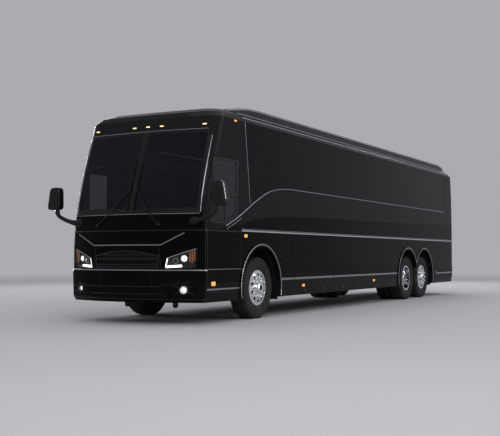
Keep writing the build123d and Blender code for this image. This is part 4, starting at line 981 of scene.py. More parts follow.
housings, lenses, glows = bmesh.new(), bmesh.new(), bmesh.new()
for y, z in CAP_LAMPS:
    run_on_nose(housings, bead(0.040, 0.010), level(z, (y - 0.058, y + 0.058)))
    run_on_nose(glows, bead(0.022, 0.0135), level(z, (y - 0.034, y + 0.034)), 0.03)
for marker in BODY_MARKERS:
    side_marker(housings, lenses, *marker)
add_piece("clearance_lamp_trays", housings, "trim", **IN_PLACE_OF)
add_piece("clearance_lamp_lenses", glows, "warm_light", **IN_PLACE_OF)
add_piece("side_marker_lenses", lenses, "amber_light", **IN_PLACE_OF)
for side, name in SIDES:
    for number, distance, z in DOOR_MARKERS:
        tray, lens = bmesh.new(), bmesh.new()
        side_marker(tray, lens, distance, z, 0.052, 0.024, side)
        door = f"{name}_bay_door_{number}"
        add_piece(f"{door}_marker_tray", tray, "trim", door)
        add_piece(f"{door}_marker", lens, "amber_light", door)

# ---- mirrors
HEAD_REAR_X = ahead(1.895)
HEAD_FRONT_X = ahead(2.013)
HEAD_OUTLINE = ((1.478, 1.905), (1.500, 1.862), (1.550, 1.847), (1.690, 1.847), (1.735, 1.866), (1.738, 1.930),
                (1.726, 1.985), (1.698, 2.165), (1.678, 2.208), (1.640, 2.226), (1.530, 2.226), (1.498, 2.208),
                (1.484, 2.150))
MIRROR_PANES = (((1.502, 1.872), (1.702, 1.872), (1.714, 1.930), (1.707, 1.962), (1.502, 1.962)),
                ((1.502, 1.974), (1.704, 1.974), (1.672, 2.180), (1.650, 2.202), (1.536, 2.202), (1.512, 2.186)))
# distance across and height along the outer edge of the head's cap, where its painted highlight runs
CAP_EDGE = ((1.735, 1.935), (1.7235, 1.985), (1.709, 2.075), (1.696, 2.165), (1.677, 2.205), (1.650, 2.222))
# places of the arm from its foot on the cap to the head, as distance ahead, across and height, and its girth there
ARM_LINE = ((1.880, 1.085, 1.612), (1.915, 1.150, 1.618), (1.945, 1.235, 1.632), (1.955, 1.360, 1.668),
            (1.955, 1.480, 1.718), (1.955, 1.545, 1.768), (1.955, 1.556, 1.830), (1.955, 1.556, 1.880))
ARM_GIRTH = ((0.0, 2.30), (0.12, 2.05), (0.24, 1.25), (0.40, 1.0), (0.72, 0.92), (1.0, 1.05))
ARM_KNUCKLE = ((-0.022, 0.0), (-0.022, 0.036), (-0.017, 0.041), (0.017, 0.041), (0.022, 0.036), (0.022, 0.0))


def graded(table, t):
    """Value at a place along a table of (place, value)."""
    for (a, low), (b, high) in zip(table, table[1:]):
        if t <= b:
            return low + (high - low) * (t - a) / (b - a)
    return table[-1][1]


def mirror_shell(bm, side):
    """Head with a broad rounded front and a rim round its glass."""
    outline = [(HEAD_REAR_X, side * y, z) for y, z in HEAD_OUTLINE]
    front = pulled_face(bm, outline, (HEAD_FRONT_X - HEAD_REAR_X, 0, 0))
    bmesh.ops.recalc_face_normals(bm, faces=bm.faces)
    rim = [e for e in bm.edges if e.verts[0] in front and e.verts[1] in front]
    bmesh.ops.bevel(bm, geom=rim, offset=0.034, segments=5, **ROUND)
    rear = [f for f in bm.faces if all(abs(v.co.x - HEAD_REAR_X) < 1e-5 for v in f.verts)]
    for thickness, depth in ((0.014, 0.0), (0.003, -0.006)):
        bmesh.ops.inset_region(bm, faces=rear, thickness=thickness, depth=depth, use_even_offset=True)


def mirror_arm(bm, side):
    """Arm from the cap to the head, thick at its foot."""
    line = smooth_line([(ahead(d), side * y, z) for d, y, z in ARM_LINE], 0.02)
    girths = [graded(ARM_GIRTH, i / (len(line) - 1)) for i in range(len(line))]
    frames = frames_along(line, [FORWARD] * len(line))
    sweep(bm, oval(0.036, 0.031, 16), [frame @ Matrix.Scale(girth, 4) for frame, girth in zip(frames, girths)])


for side, name in SIDES:
    with piece(f"{name}_mirror_shell", "trim", replaces=("mirrors",), sharp=45.0) as bm:
        mirror_shell(bm, side)
        mirror_arm(bm, side)
        lathe(bm, ARM_KNUCKLE, (ahead(1.955), side * 1.556, 1.800), UP, 28)
    with piece(f"{name}_mirror_glass", "mirror") as bm:
        for outline in MIRROR_PANES:
            pulled_face(bm, [(HEAD_REAR_X + 0.0065, side * y, z) for y, z in outline], (-0.005, 0, 0))
        bmesh.ops.recalc_face_normals(bm, faces=bm.faces)
        round_edges(bm, bm.verts, 0.0012)
    # bright strip down the head's outer edge and round its top corner: a painted highlight
    with piece(f"{name}_mirror_bright_edge", "bright") as bm:
        outward = [Vector((0.55, side * 0.80, 0.12))] * 4 + [Vector((0.55, side * 0.5, 0.6)), Vector((0.5, 0.0, 0.8))]
        lay(bm, bead(0.010, 0.003), [(Vector((HEAD_FRONT_X - 0.020, side * y, z)), out.normalized())
                                     for (y, z), out in zip(CAP_EDGE, outward)])

# ---- wipers
# distance across and height of the foot and of the elbow, and distance across of the tip
WIPERS = (((0.580, 1.560), (0.375, 1.750), 0.062), ((-0.625, 1.560), (-0.375, 1.785), -0.062))
TIP_Z = 2.150
WIPER_BOSS = ((0.0, 0.0), (0.0, 0.030), (0.036, 0.026), (0.046, 0.016), (0.048, 0.0))
BLADE = ((-0.007, 0.0), (-0.006, 0.008), (0.006, 0.008), (0.007, 0.0), (0.0015, -0.004), (0.001, -0.012),
         (-0.001, -0.012), (-0.0015, -0.004))


def off_nose(y, z, standoff):
    """Place that far ahead of the nose."""
    return Vector((on_nose(y, z)[0].x + standoff, y, z))


with piece("wiper_blades", "rubber") as blades, piece("wiper_arms", "trim", replaces=("wipers",)) as bm:
    for foot, elbow, tip_y in WIPERS:
        lathe(bm, WIPER_BOSS, off_nose(*foot, -0.004), FORWARD, 24)
        for shift in (-0.014, 0.018):
            a, b = (off_nose(y + shift, z + 0.5 * shift, 0.034) for y, z in (foot, elbow))
            rod_between(bm, a, b, 0.006)
            rod_between(bm, b, off_nose(tip_y + shift * 0.35, TIP_Z, 0.034), 0.0055)
        block_at(bm, off_nose(tip_y, TIP_Z, 0.030), (0.010, 0.016, 0.05), 0.004)
        lay_facing(blades, BLADE, [off_nose(tip_y, 1.80 + i * 0.05, 0.016) for i in range(17)])

# ---- tyres
TREAD_STEPS = 120
SIDEWALL = [(0.118, 0.288), (0.121, 0.300), (0.128, 0.311), (0.139, 0.329), (0.1495, 0.352), (0.1515, 0.353),
            (0.1535, 0.362), (0.1565, 0.392), (0.1575, 0.420), (0.1570, 0.446), (0.1545, 0.468), (0.1555, 0.470),
            (0.1535, 0.482), (0.1485, 0.500), (0.1415, 0.514), (0.1310, 0.524), (0.1180, 0.5280)]
RIB_GROOVES = (0.082, 0.030, -0.030, -0.082)
GROOVE_HALF = 0.0055
GROOVE_TAPER = 0.0015
GROOVE_DEPTH = 0.014
TREAD_R = 0.5298
TREAD_HALF = 0.1040


def tyre_profile():
    """Closed section of a tyre: sidewalls, shoulders and four grooves round the tread."""
    tread = []
    for middle in RIB_GROOVES:
        tread += [(middle + GROOVE_HALF, TREAD_R), (middle + GROOVE_HALF - GROOVE_TAPER, TREAD_R - GROOVE_DEPTH),
                  (middle - GROOVE_HALF + GROOVE_TAPER, TREAD_R - GROOVE_DEPTH), (middle - GROOVE_HALF, TREAD_R)]
    return SIDEWALL + [(TREAD_HALF, TREAD_R), *tread, (-TREAD_HALF, TREAD_R)] + [(-y, r) for y, r in SIDEWALL[::-1]]


def add_tyre(bm, x, y):
    """One tyre with notched shoulders, in an empty mesh."""
    centre = Vector((x, y, TYRE_R))
    lathe(bm, tyre_profile(), centre, (0, 1, 0), TREAD_STEPS, closed=True)
    bmesh.ops.remove_doubles(bm, verts=bm.verts, dist=WELD)
    notches = []
    for face in bm.faces[:]:
        middle = face.calc_center_median() - centre
        turn = int((math.atan2(middle.z, middle.x) / math.tau + 1.0) * TREAD_STEPS + 0.5) % TREAD_STEPS
        if turn % 3 == 0 and 0.100 < abs(middle.y) < 0.146 and math.hypot(middle.x, middle.z) >= 0.50:
            notches.append(face)
    bmesh.ops.recalc_face_normals(bm, faces=bm.faces)
    bmesh.ops.inset_region(bm, faces=notches, thickness=0.0015, depth=-0.006, use_even_offset=True)


# ---- wheels: tyres, nuts, hubs, valves and drums
# kind, tyre node, body, and how far out from the outer tyre's middle its nuts, hub end, valve and brake drum are
WHEELS = (("front", "tyre", "front_wheel", 0.148, 0.200, 0.128, 0.02),
          ("drive", "tyres", "drive_wheels", -0.161, 0.095, -0.12, -0.19),
          ("tag", "tyre", "tag_wheel", 0.148, 0.200, 0.128, 0.02))
TYRE_HALF = 0.1575
TWIN_SPACING = 0.350
NUT_CIRCLE_R = 0.1675
VALVE_R, VALVE_ANGLE = 0.236, 0.3
WASHER = ((0.0, 0.0), (0.0, 0.030), (0.004, 0.030), (0.006, 0.0255), (0.006, 0.0))
NUT_CAP = ((0.034, 0.0), (0.034, 0.0150), (0.044, 0.0140), (0.050, 0.008), (0.052, 0.0))
HUB = ((-0.030, 0.0868), (-0.020, 0.0895), (-0.0165, 0.0895), (-0.012, 0.0855), (-0.006, 0.078), (-0.0015, 0.0625),
       (-0.0015, 0.046), (0.0, 0.044), (0.0, 0.0), (-0.03, 0.0))
BRAKE_DRUM = ((0.0, 0.112), (0.0, 0.196), (-0.012, 0.207), (-0.110, 0.207), (-0.114, 0.214), (-0.130, 0.214),
              (-0.130, 0.200), (-0.015, 0.190), (-0.015, 0.112))


def nut_pattern():
    """Hexagon nut with a washer and a domed cover, pointing along Z from its seat."""
    bm = bmesh.new()
    lathe(bm, WASHER, (0, 0, 0), UP, 20)
    hexagon = bmesh.ops.create_cone(bm, cap_ends=True, segments=6, radius1=0.0232, radius2=0.0232, depth=0.030,
                                    matrix=Matrix.Translation((0, 0, 0.020)))["verts"]
    round_edges(bm, hexagon, 0.0012, 1)
    lathe(bm, NUT_CAP, (0, 0, 0), UP, 16)
    return mesh_of(bm)


def round_axle(centre, radius, count, shift=0.0):
    """Places spaced evenly about a wheel's axis."""
    angles = [math.tau * (n + shift) / count for n in range(count)]
    return [centre + Vector((radius * math.cos(a), 0.0, radius * math.sin(a))) for a in angles]


NUT = nut_pattern()
for side, name in SIDES:
    out = Vector((0, side, 0))
    for kind, tyre_node, wheel, nuts_out, hub_out, valve_out, drum_out in WHEELS:
        low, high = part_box(f"{name}_{kind}_{tyre_node}")
        middle_x = (low.x + high.x) / 2
        tyre_y = max(abs(low.y), abs(high.y)) - TYRE_HALF
        body = f"{name}_{wheel}"
        nuts, hub, valve, drum_place = (Vector((middle_x, side * (tyre_y + outward), TYRE_R))
                                        for outward in (nuts_out, hub_out, valve_out, drum_out))
        with piece(f"{name}_{kind}_road_{tyre_node}", "tyre", body, replaces=(f"{name}_{kind}_{tyre_node}",),
                   slot="tyre", sharp=30.0) as bm:
            add_tyre(bm, middle_x, side * tyre_y)
            if kind == "drive":
                twin = bmesh.new()
                add_tyre(twin, middle_x, side * (tyre_y - TWIN_SPACING))
                bm.from_mesh(mesh_of(twin))
        with piece(f"{name}_{kind}_wheel_nuts", "chrome", body, slot="wheel") as bm:
            for place in round_axle(nuts, NUT_CIRCLE_R, 10):
                stamp(bm, NUT, Matrix.Translation(place) @ facing(out))
            lathe(bm, HUB, hub, out, 48)
            for place in round_axle(hub - out * 0.008, 0.070, 8, 0.5):
                stamp(bm, NUT, Matrix.Translation(place) @ facing(out) @ Matrix.Scale(0.26, 4))
        with piece(f"{name}_{kind}_wheel_valve", "trim", body, slot="wheel") as bm:
            foot = valve + Vector((math.cos(VALVE_ANGLE), 0.0, math.sin(VALVE_ANGLE))) * VALVE_R
            rod_between(bm, foot, foot + out * 0.035 + Vector((0.012, 0, 0.004)), 0.0045)
            rod_between(bm, foot + out * 0.030 + Vector((0.010, 0, 0.003)),
                        foot + out * 0.042 + Vector((0.014, 0, 0.005)), 0.0062)
        with piece(f"{name}_{kind}_brake_drum", "cast", body) as bm:
            lathe(bm, BRAKE_DRUM, drum_place, out, 56, closed=True)

# ---- arch liners
LINER_R = 0.694
LINER_OUTER_Y = 1.235


def ribbed(half):
    """Section of a liner that wide either way, with seven low ribs."""
    section = [(-half, 0.0), (-half, 0.004)]
    for k in range(1, 8):
        rib = -half + 2 * half * k / 8
        section += [(rib - 0.006, 0.004), (rib - 0.004, 0.0045), (rib + 0.004, 0.0045), (rib + 0.006, 0.004)]
    return section + [(half, 0.004), (half, 0.0)]


for side, name in SIDES:
    with piece(f"{name}_arch_liners", "matt", slot="chassis", sharp=50.0) as bm:
        for axle, low, high in wheel_arches(3.0, 8.0):
            inner_y = 0.700 if axle == FRONT_AXLE_X else 0.56
            middle_y = side * (LINER_OUTER_Y + inner_y) / 2
            lay(bm, ribbed((LINER_OUTER_Y - inner_y) / 2),
                [(Vector((x, middle_y, z)), Vector((math.cos(a), 0, math.sin(a))))
                 for x, z, a in arc(axle, LINER_R, low, high, 32)])

# ---- cushions
PAD_CROWN = 0.20
STUFFING_FRAMES = 20


def pad(size, pull, channels=(), cuts=13):
    """Stitched pad about the origin: crowned faces, sides pulled in between the corners, sewn lines on top."""
    bm = bmesh.new()
    bmesh.ops.create_cube(bm, size=2.0)
    bmesh.ops.subdivide_edges(bm, edges=bm.edges[:], cuts=cuts, use_grid_fill=True)
    bm.verts.index_update()
    held = []
    for v in bm.verts:
        u, w, h = v.co
        sewn = min([abs(w - place) for place in channels], default=1.0) < 0.05
        if h < -0.95 or (sewn and h > 0.95):
            held.append(v.index)
        rim = 0.90 if abs(h) > 0.99 and max(abs(u), abs(w)) > 0.99 else 1.0
        out_u = u * (1 - pull * (1 - w * w) * abs(u) ** 3)
        out_w = w * (1 - pull * (1 - u * u) * abs(w) ** 3)
        seam_dip = 0.14 * (1 - u ** 8) if sewn and h > 0 else 0.0
        height = h * (0.74 + PAD_CROWN * (1 - u ** 4) * (1 - w ** 4)) - seam_dip
        v.co = Vector((out_u * size[0] / 2 * rim, out_w * size[1] / 2 * rim, height * size[2] / 2))
    bmesh.ops.smooth_vert(bm, verts=bm.verts[:], factor=0.5, use_axis_x=True, use_axis_y=True, use_axis_z=True)
    return stuffed(mesh_of(bm), held, size[2] * 0.10)


def stuffed(mesh, held, travel):
    """Swells a pad with air pressure while its base and its sewn lines are held."""
    scene = bpy.context.scene
    first = scene.frame_current
    obj = new_object("stuffing", mesh)
    obj.vertex_groups.new(name="held").add(held, 1.0, "REPLACE")
    cloth = obj.modifiers.new("cloth", "CLOTH")
    cloth.point_cache.frame_start, cloth.point_cache.frame_end = 1, STUFFING_FRAMES
    cloth.collision_settings.use_collision = False
    fabric = cloth.settings
    fabric.quality = 5
    fabric.tension_stiffness = fabric.compression_stiffness = 12.0
    fabric.bending_stiffness = 0.4
    fabric.use_pressure = True
    fabric.uniform_pressure_force = 4.0
    fabric.vertex_group_mass = "held"
    fabric.effector_weights.gravity = 0.0
    for frame_number in range(1, STUFFING_FRAMES + 1):
        scene.frame_set(frame_number)
    swollen = bpy.data.meshes.new_from_object(obj.evaluated_get(bpy.context.evaluated_depsgraph_get()))
    for end, start in zip(swollen.vertices, mesh.vertices):
        move = end.co - start.co
        end.co = start.co + move * min(1.0, travel / max(move.length, 1e-6))
    bpy.data.objects.remove(obj)
    scene.frame_set(first)
    return swollen


def piping(size, height, radius=0.0045, corner=0.035):
    """Sewn piping round a pad."""
    bm = bmesh.new()
    half_x, half_y = size[0] / 2 * 0.955, size[1] / 2 * 0.955
    line = []
    for cx, cy, start in ((1, 1, 0), (-1, 1, 90), (-1, -1, 180), (1, -1, 270)):
        for k in range(4):
            a = math.radians(start + 30 * k)
            line.append(Vector((cx * (half_x - corner) + corner * math.cos(a),
                                cy * (half_y - corner) + corner * math.sin(a), height)))
    lay_facing(bm, oval(radius, radius), line + line[:1], UP)
    return mesh_of(bm)


CUSHION_SIZE = (0.47, 0.455, 0.135)
BACK_SIZE = (0.70, 0.445, 0.120)
HEADREST_SIZE = (0.20, 0.27, 0.095)
SEWN_LINES = (-4 / 7, 4 / 7)
FLAT = Matrix.Identity(4)
LEAN = Matrix.Rotation(math.radians(-109.0), 4, "Y") @ Matrix.Rotation(math.pi, 4, "X")
# part, finish, place ahead of and above the seat's origin, its turn and the patterns laid there
SOFT_PARTS = (
    ("cushion", "cloth", 0.245, 0.455, FLAT, (pad(CUSHION_SIZE, 0.05, SEWN_LINES), piping(CUSHION_SIZE, 0.030))),
    ("back", "cloth", -0.020, 0.800, LEAN, (pad(BACK_SIZE, 0.04, SEWN_LINES), piping(BACK_SIZE, 0.028))),
    ("headrest", "headrest", -0.068, 1.045, LEAN, (pad(HEADREST_SIZE, 0.08, cuts=7),)),
)


def soft_seat(name, places, floor_z):
    """Cushions, backs and headrests of a bench or a single seat, as padded pieces."""
    for part, finish, along, up, turn, patterns in SOFT_PARTS:
        bm = bmesh.new()
        for x, y in places:
            for pattern in patterns:
                stamp(bm, pattern, Matrix.Translation((x + along, y, floor_z + up)) @ turn)
        made = add_piece(f"{name}_{part}", bm, finish, replaces=("seats",), slot="seat_fabric", sharp=60.0)


# ---- seats
DECK_Z = 1.45
CAB_FLOOR_Z = 1.04
SEAT_ROWS = 14
SEAT_PITCH = 0.815
SEAT_FRONT_X = ahead(0.06)
SEAT_MIDDLE_Y = (0.475, 0.955)
SEAT_ARM_Y = (0.240, 0.715, 1.190)
SEAT_LEG_Y = (0.36, 1.07)
DRIVER_X, DRIVER_Y = ahead(0.86), 0.69


def seat_shell_pattern():
    """Hard parts of one seat: tray, back shell and its hand hold, about the seat's own origin."""
    bm = bmesh.new()
    block(bm, (0.015, -0.222, 0.372), (0.470, 0.222, 0.402), 0.012)
    block(bm, (0.10, -0.03, 0.335), (0.38, 0.03, 0.375), 0.006)
    known = len(bm.verts)
    block(bm, (-0.355, -0.225, -0.070), (0.345, 0.225, -0.046), 0.010)
    block(bm, (-0.345, -0.17, -0.078), (-0.235, 0.17, -0.068), 0.004)
    bm.verts.ensure_lookup_table()
    bmesh.ops.transform(bm, matrix=Matrix.Translation((-0.020, 0.0, 0.800)) @ LEAN, verts=bm.verts[known:])
    hold = [Vector((-0.205, -0.17 + 0.034 * i, 1.122 + 0.010 * math.sin(math.pi * i / 10))) for i in range(11)]
    lay_facing(bm, oval(0.010, 0.010), hold, UP)
    return mesh_of(bm)


def arm_pattern():
    """Folding armrest."""
    bm = bmesh.new()
    block(bm, (0.02, -0.020, 0.630), (0.340, 0.020, 0.668), 0.012, 3)
    block(bm, (0.0, -0.014, 0.590), (0.060, 0.014, 0.650), 0.006)
    return mesh_of(bm)


SEAT_SHELL = seat_shell_pattern()
SEAT_ARM = arm_pattern()
IN_SEATS = {"replaces": ("seats",)}
with (piece("seat_legs", "chassis", **IN_SEATS) as legs,
      piece("seat_armrests", "trim", slot="dash_plastic", **IN_SEATS) as arms,
      piece("seat_shells", "dash", **IN_SEATS) as shells):
    for row in range(SEAT_ROWS):
        x = SEAT_FRONT_X - row * SEAT_PITCH
        for side, name in SIDES:
            for y in SEAT_MIDDLE_Y:
                stamp(shells, SEAT_SHELL, Matrix.Translation((x, side * y, DECK_Z)))
            for y in SEAT_ARM_Y:
                stamp(arms, SEAT_ARM, Matrix.Translation((x, side * y, DECK_Z)))
            for y in SEAT_LEG_Y:
                block_at(legs, (x + 0.230, side * y, DECK_Z + 0.1875), (0.095, 0.02, 0.1875), 0.006, 1)
                block_at(legs, (x + 0.230, side * y, DECK_Z + 0.007), (0.120, 0.045, 0.007), 0.004, 1)
            rail_low, rail_high = sorted((side * 0.26, side * 1.17))
            block(legs, (x + 0.12, rail_low, DECK_Z + 0.32), (x + 0.16, rail_high, DECK_Z + 0.36), 0.006, 1)
            soft_seat(f"{name}_row_{row + 1:02d}", [(x, side * y) for y in SEAT_MIDDLE_Y], DECK_Z)
    stamp(shells, SEAT_SHELL, Matrix.Translation((DRIVER_X, DRIVER_Y, CAB_FLOOR_Z)))
    for y in (0.445, 0.935):
        stamp(arms, SEAT_ARM, Matrix.Translation((DRIVER_X, y, CAB_FLOOR_Z)))
    # folds of the driver's seat base, and its foot
    for i in range(6):
        fold, low_z = 0.006 * (i % 2), CAB_FLOOR_Z + 0.06 + i * 0.050
        block(legs, (DRIVER_X + 0.10 + fold, DRIVER_Y - 0.17 + fold, low_z),
              (DRIVER_X + 0.38 - fold, DRIVER_Y + 0.17 - fold, low_z + 0.046), 0.012)
    block(legs, (DRIVER_X + 0.06, DRIVER_Y - 0.20, CAB_FLOOR_Z),
          (DRIVER_X + 0.42, DRIVER_Y + 0.20, CAB_FLOOR_Z + 0.06), 0.008)
    soft_seat("driver_seat", [(DRIVER_X, DRIVER_Y)], CAB_FLOOR_Z)

# ---- cab fittings
STEERING_LOW, STEERING_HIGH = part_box("steering_wheel")
WHEEL_CENTRE = Vector((ahead(1.33), (STEERING_LOW.y + STEERING_HIGH.y) / 2, 1.80))
COLUMN = Vector((-0.55 * math.sin(math.radians(62.0)), 0.0, 1.0)).normalized()
DASH_TOP_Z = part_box("dashboard")[1].z
BOSS = ((-0.020, 0.0), (-0.020, 0.070), (0.012, 0.080), (0.026, 0.062), (0.032, 0.030), (0.033, 0.0))
COLUMN_COVER = ((-0.34, 0.0), (-0.34, 0.075), (-0.22, 0.060), (-0.10, 0.045), (-0.09, 0.0))
STEP_FRONT_X, STEP_REAR_X = ahead(1.612), ahead(0.845)
# distance across and height along the handrails beside the entry steps
HANDRAIL = ((-1.10, 0.70), (-1.12, 1.10), (-0.98, 1.50), (-0.72, 1.72), (-0.545, 1.72), (-0.545, 1.05))
with piece("steering_boss", "dash") as bm:
    lathe(bm, BOSS, WHEEL_CENTRE, COLUMN, 32)
    lathe(bm, COLUMN_COVER, WHEEL_CENTRE, COLUMN, 24)
    stalk = WHEEL_CENTRE - COLUMN * 0.085
    for across in (0.165, -0.165):
        rod_between(bm, stalk, stalk + Vector((0.01, across, 0.02)), 0.0075)
with piece("instrument_binnacle", "dash") as bm:
    block(bm, (ahead(1.47), 0.42, DASH_TOP_Z - 0.11), (ahead(1.80), 0.97, DASH_TOP_Z + 0.075), 0.030, 4)
    block(bm, (ahead(1.49), 0.16, DASH_TOP_Z - 0.12), (ahead(1.70), 0.40, DASH_TOP_Z + 0.045), 0.020, 3)
    block(bm, (ahead(1.49), 0.99, DASH_TOP_Z - 0.12), (ahead(1.72), 1.16, DASH_TOP_Z + 0.020), 0.020, 3)
with (piece("gauge_faces", "screen") as dials,
      piece("gauge_rims_and_switches", "smoked", slot="dash_plastic") as bm):
    for y, r in ((0.58, 0.058), (0.81, 0.058), (0.695, 0.042)):
        place = Vector((ahead(1.472), y, DASH_TOP_Z + 0.002))
        rim = ((0.0, r), (0.0, r + 0.008), (0.010, r + 0.006), (0.010, r))
        lathe(bm, rim, place, -FORWARD, 36, closed=True)
        lathe(dials, drum(r + 0.001, 0.0, 0.003), place, -FORWARD, 36)
    for i in range(8):
        y, z = 0.19 + (i % 4) * 0.052, DASH_TOP_Z - 0.085 + (i // 4) * 0.045
        block(bm, (ahead(1.482), y, z), (ahead(1.494), y + 0.040, z + 0.032), 0.004, 1)
    block(dials, (ahead(1.484), 0.20, DASH_TOP_Z + 0.006), (ahead(1.492), 0.36, DASH_TOP_Z + 0.034), 0.002, 1)
with piece("pedals", "trim", slot="dash_plastic") as bm:
    for y in (0.60, 0.78):
        block_at(bm, (ahead(1.3475), y, CAB_FLOOR_Z + 0.105), (0.0125, 0.035, 0.085), 0.008)
with piece("entry_handrails", "chrome") as bm:
    for x, rail in ((STEP_REAR_X, HANDRAIL), (STEP_FRONT_X, HANDRAIL[:4])):
        lay_facing(bm, oval(0.0165, 0.0165), smooth_line([(x, y, z) for y, z in rail], 0.05))
with piece("step_nosings", "bright", slot="floor") as bm:
    for y, z in ((-1.015, 0.626), (-0.788, 0.833), (-0.560, 1.040)):
        block(bm, (STEP_REAR_X, y - 0.008, z - 0.022), (STEP_FRONT_X, y + 0.040, z + 0.004), 0.003, 1)
with piece("step_treads", "rubber", slot="floor") as bm:
    for y, z in ((-1.22, 0.421), (-0.995, 0.627), (-0.77, 0.834)):
        for k in range(5):
            low_y = y + 0.045 + k * 0.032
            block(bm, (ahead(1.2) - 0.34, low_y, z), (ahead(1.2) + 0.34, low_y + 0.010, z + 0.003), 0.001, 1)

# ---- racks, ceiling and cabin lights
RACK_REAR_X, RACK_FRONT_X = (corner.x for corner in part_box("luggage_racks"))
NOZZLE = ((0.0, 0.0), (0.0, 0.024), (0.012, 0.020), (0.014, 0.0))
READING_LAMP = ((0.0, 0.0), (0.0, 0.016), (0.008, 0.013), (0.009, 0.0))
with (piece("cabin_lights", "cabin_light") as lights,
      piece("rack_rails", "bright", slot="rack_plastic") as rails,
      piece("rack_fittings", "rack") as bm):
    for side, name in SIDES:
        block(rails, (RACK_REAR_X, side * 0.868 - 0.012, 3.150), (RACK_FRONT_X, side * 0.868 + 0.012, 3.176), 0.006)
        for i in range(13):
            x = RACK_FRONT_X - 0.45 - i * 0.88
            block_at(bm, (x, side * 0.866, 3.0625), (0.012, 0.010, 0.0975), 0.004, 1)
            unit = Vector((SEAT_FRONT_X - i * SEAT_PITCH, side * 1.00, 2.957))
            block_at(bm, unit - Vector((0.0, 0.0, 0.003)), (0.14, 0.09, 0.009), 0.006)
            for across in (-0.04, 0.04):
                lathe(bm, NOZZLE, unit + Vector((0.07, across, -0.010)), -UP, 16)
                lathe(lights, READING_LAMP, unit + Vector((-0.07, across, -0.010)), -UP, 16)
        block(lights, (RACK_REAR_X + 0.1, side * 0.855 - 0.008, 2.985),
              (RACK_FRONT_X - 0.1, side * 0.855 + 0.004, 3.005), 0.003, 1)
with piece("ceiling_lining", "rack") as bm:
    block(bm, (RACK_REAR_X, -0.862, 3.385), (RACK_FRONT_X, 0.862, 3.397), 0.004, 1)
    for i in range(14):
        block_at(bm, (RACK_REAR_X + 0.3 + i * 0.83, 0.0, 3.382), (0.008, 0.86, 0.004), 0.002, 1)
    block(bm, (RACK_REAR_X, -0.12, 3.372), (RACK_FRONT_X, 0.12, 3.386), 0.006, 1)

# ---- tail
# places are given as distance across and height
PLATE_Z = 1.02
LOUVRE = ((-0.012, -0.003), (-0.016, 0.004), (-0.004, 0.016), (0.010, 0.018), (0.012, -0.003))
DOOR_FRAME = ((-0.72, 1.14), (0.72, 1.14), (0.72, 1.71), (-0.72, 1.71))
REAR_GLASS = ((-0.845, 2.325), (0.845, 2.325), (0.80, 3.022), (-0.80, 3.022))
PLATE_SCREW = ((-0.002, 0.0), (-0.002, 0.009), (0.002, 0.007), (0.003, 0.0))
LAMP_MIDDLE_Y = 1.07
LAMP_LENS = ((0.008, 0.0), (0.008, 0.050), (0.016, 0.046), (0.019, 0.025), (0.020, 0.0))
plate_x = on_tail(0.0, PLATE_Z)[0].x
with piece("engine_door_louvres", "trim", "engine_door") as bm:
    for i in range(12):
        run_on_tail(bm, LOUVRE, level(1.18 + i * 0.044, (-0.66, 0.66)), 0.1)
with piece("engine_door_frame", "smoked", "engine_door") as bm:
    run_round(run_on_tail, bm, bead(0.018, 0.007), DOOR_FRAME, 0.1)
with piece("bare_plate", "bright", "engine_door") as bm:
    block(bm, (plate_x - 0.006, -0.17, PLATE_Z - 0.085), (plate_x + 0.004, 0.17, PLATE_Z + 0.085), 0.003)
    for across in (-0.11, 0.11):
        lathe(bm, PLATE_SCREW, (plate_x - 0.006, across, PLATE_Z + 0.06), -FORWARD, 12)
with piece("engine_door_handle", "trim", "engine_door") as bm:
    block(bm, (plate_x - 0.016, -0.10, 0.845), (plate_x + 0.004, 0.10, 0.880), 0.006, 3)
for side, name in SIDES:
    with piece(f"{name}_tail_lamp_bezel", "trim") as bm:
        for z in (0.905, 1.05, 1.20, 1.35, 1.495):
            run_on_tail(bm, bead(0.014, 0.0165), level(z, (side * 0.955, side * 1.185)), 0.0164)
        for y in (0.962, 1.178):
            run_on_tail(bm, bead(0.014, 0.0165), [(side * y, 0.90), (side * y, 1.50)])
    for lens, finish, slot, z in (("turn", "amber_lens", "lamp_amber", 1.275),
                                  ("reverse", "white_lens", "lamp_clear", 1.125)):
        with piece(f"{name}_tail_{lens}_lens", finish, slot=slot) as bm:
            lathe(bm, LAMP_LENS, *on_tail(side * LAMP_MIDDLE_Y, z), 36)
with piece("tail_marker_lenses", "red_lens") as bm:
    for y in (-0.20, 0.0, 0.20, -1.0, 1.0):
        block_at(bm, on_tail(y, 3.18)[0], (0.010, 0.05, 0.014), 0.004)
    for side, name in SIDES:
        block_at(bm, on_tail(side * LAMP_MIDDLE_Y, 0.862)[0], (0.006, 0.09, 0.017), 0.003)
with piece("rear_window_seal", "rubber") as bm:
    run_round(run_on_tail, bm, bead(0.030, 0.006), REAR_GLASS)
with piece("tail_mouldings", "bright") as bm:
    run_on_tail(bm, bead(0.016, 0.006), level(BELT_Z + 0.32, (-1.05, 1.05)), 0.1)
# these reflectors are no lamps, yet their red lens glows: a painted glow
with piece("side_reflectors", "red_lens") as bm:
    for side, name in SIDES:
        for distance in (-10.24, -11.86):
            point, normal = on_side(ahead(distance), 0.66, side)
            block(bm, point - Vector((0.030, 0.005, 0.014)), point + Vector((0.030, 0.006, 0.014)), 0.003)

# ---- roof
HATCH_TOP = 3.56
with piece("roof_hatch_seals", "rubber") as seals, piece("roof_hatch_lids", "dash", slot="body_grey") as bm:
    for x in (ahead(-2.5), ahead(-8.8)):
        block_at(bm, (x, 0.0, HATCH_TOP - 0.009), (0.375, 0.325, 0.021), 0.014, 3)
        block_at(bm, (x, 0.0, HATCH_TOP + 0.016), (0.25, 0.20, 0.006), 0.010)
        block_at(seals, (x, 0.0, 3.5255), (0.395, 0.345, 0.0065), 0.005)
        for across in (-0.22, 0.22):
            block_at(seals, (x + 0.38, across, 3.540), (0.02, 0.03, 0.012), 0.006)
with piece("roof_panel_joints", "rubber") as bm:
    for i in range(10):
        run_on_roof(bm, strip(0.020, 0.0015), REAR_SEAM_X + 0.6 + i * 1.28, 0.93)

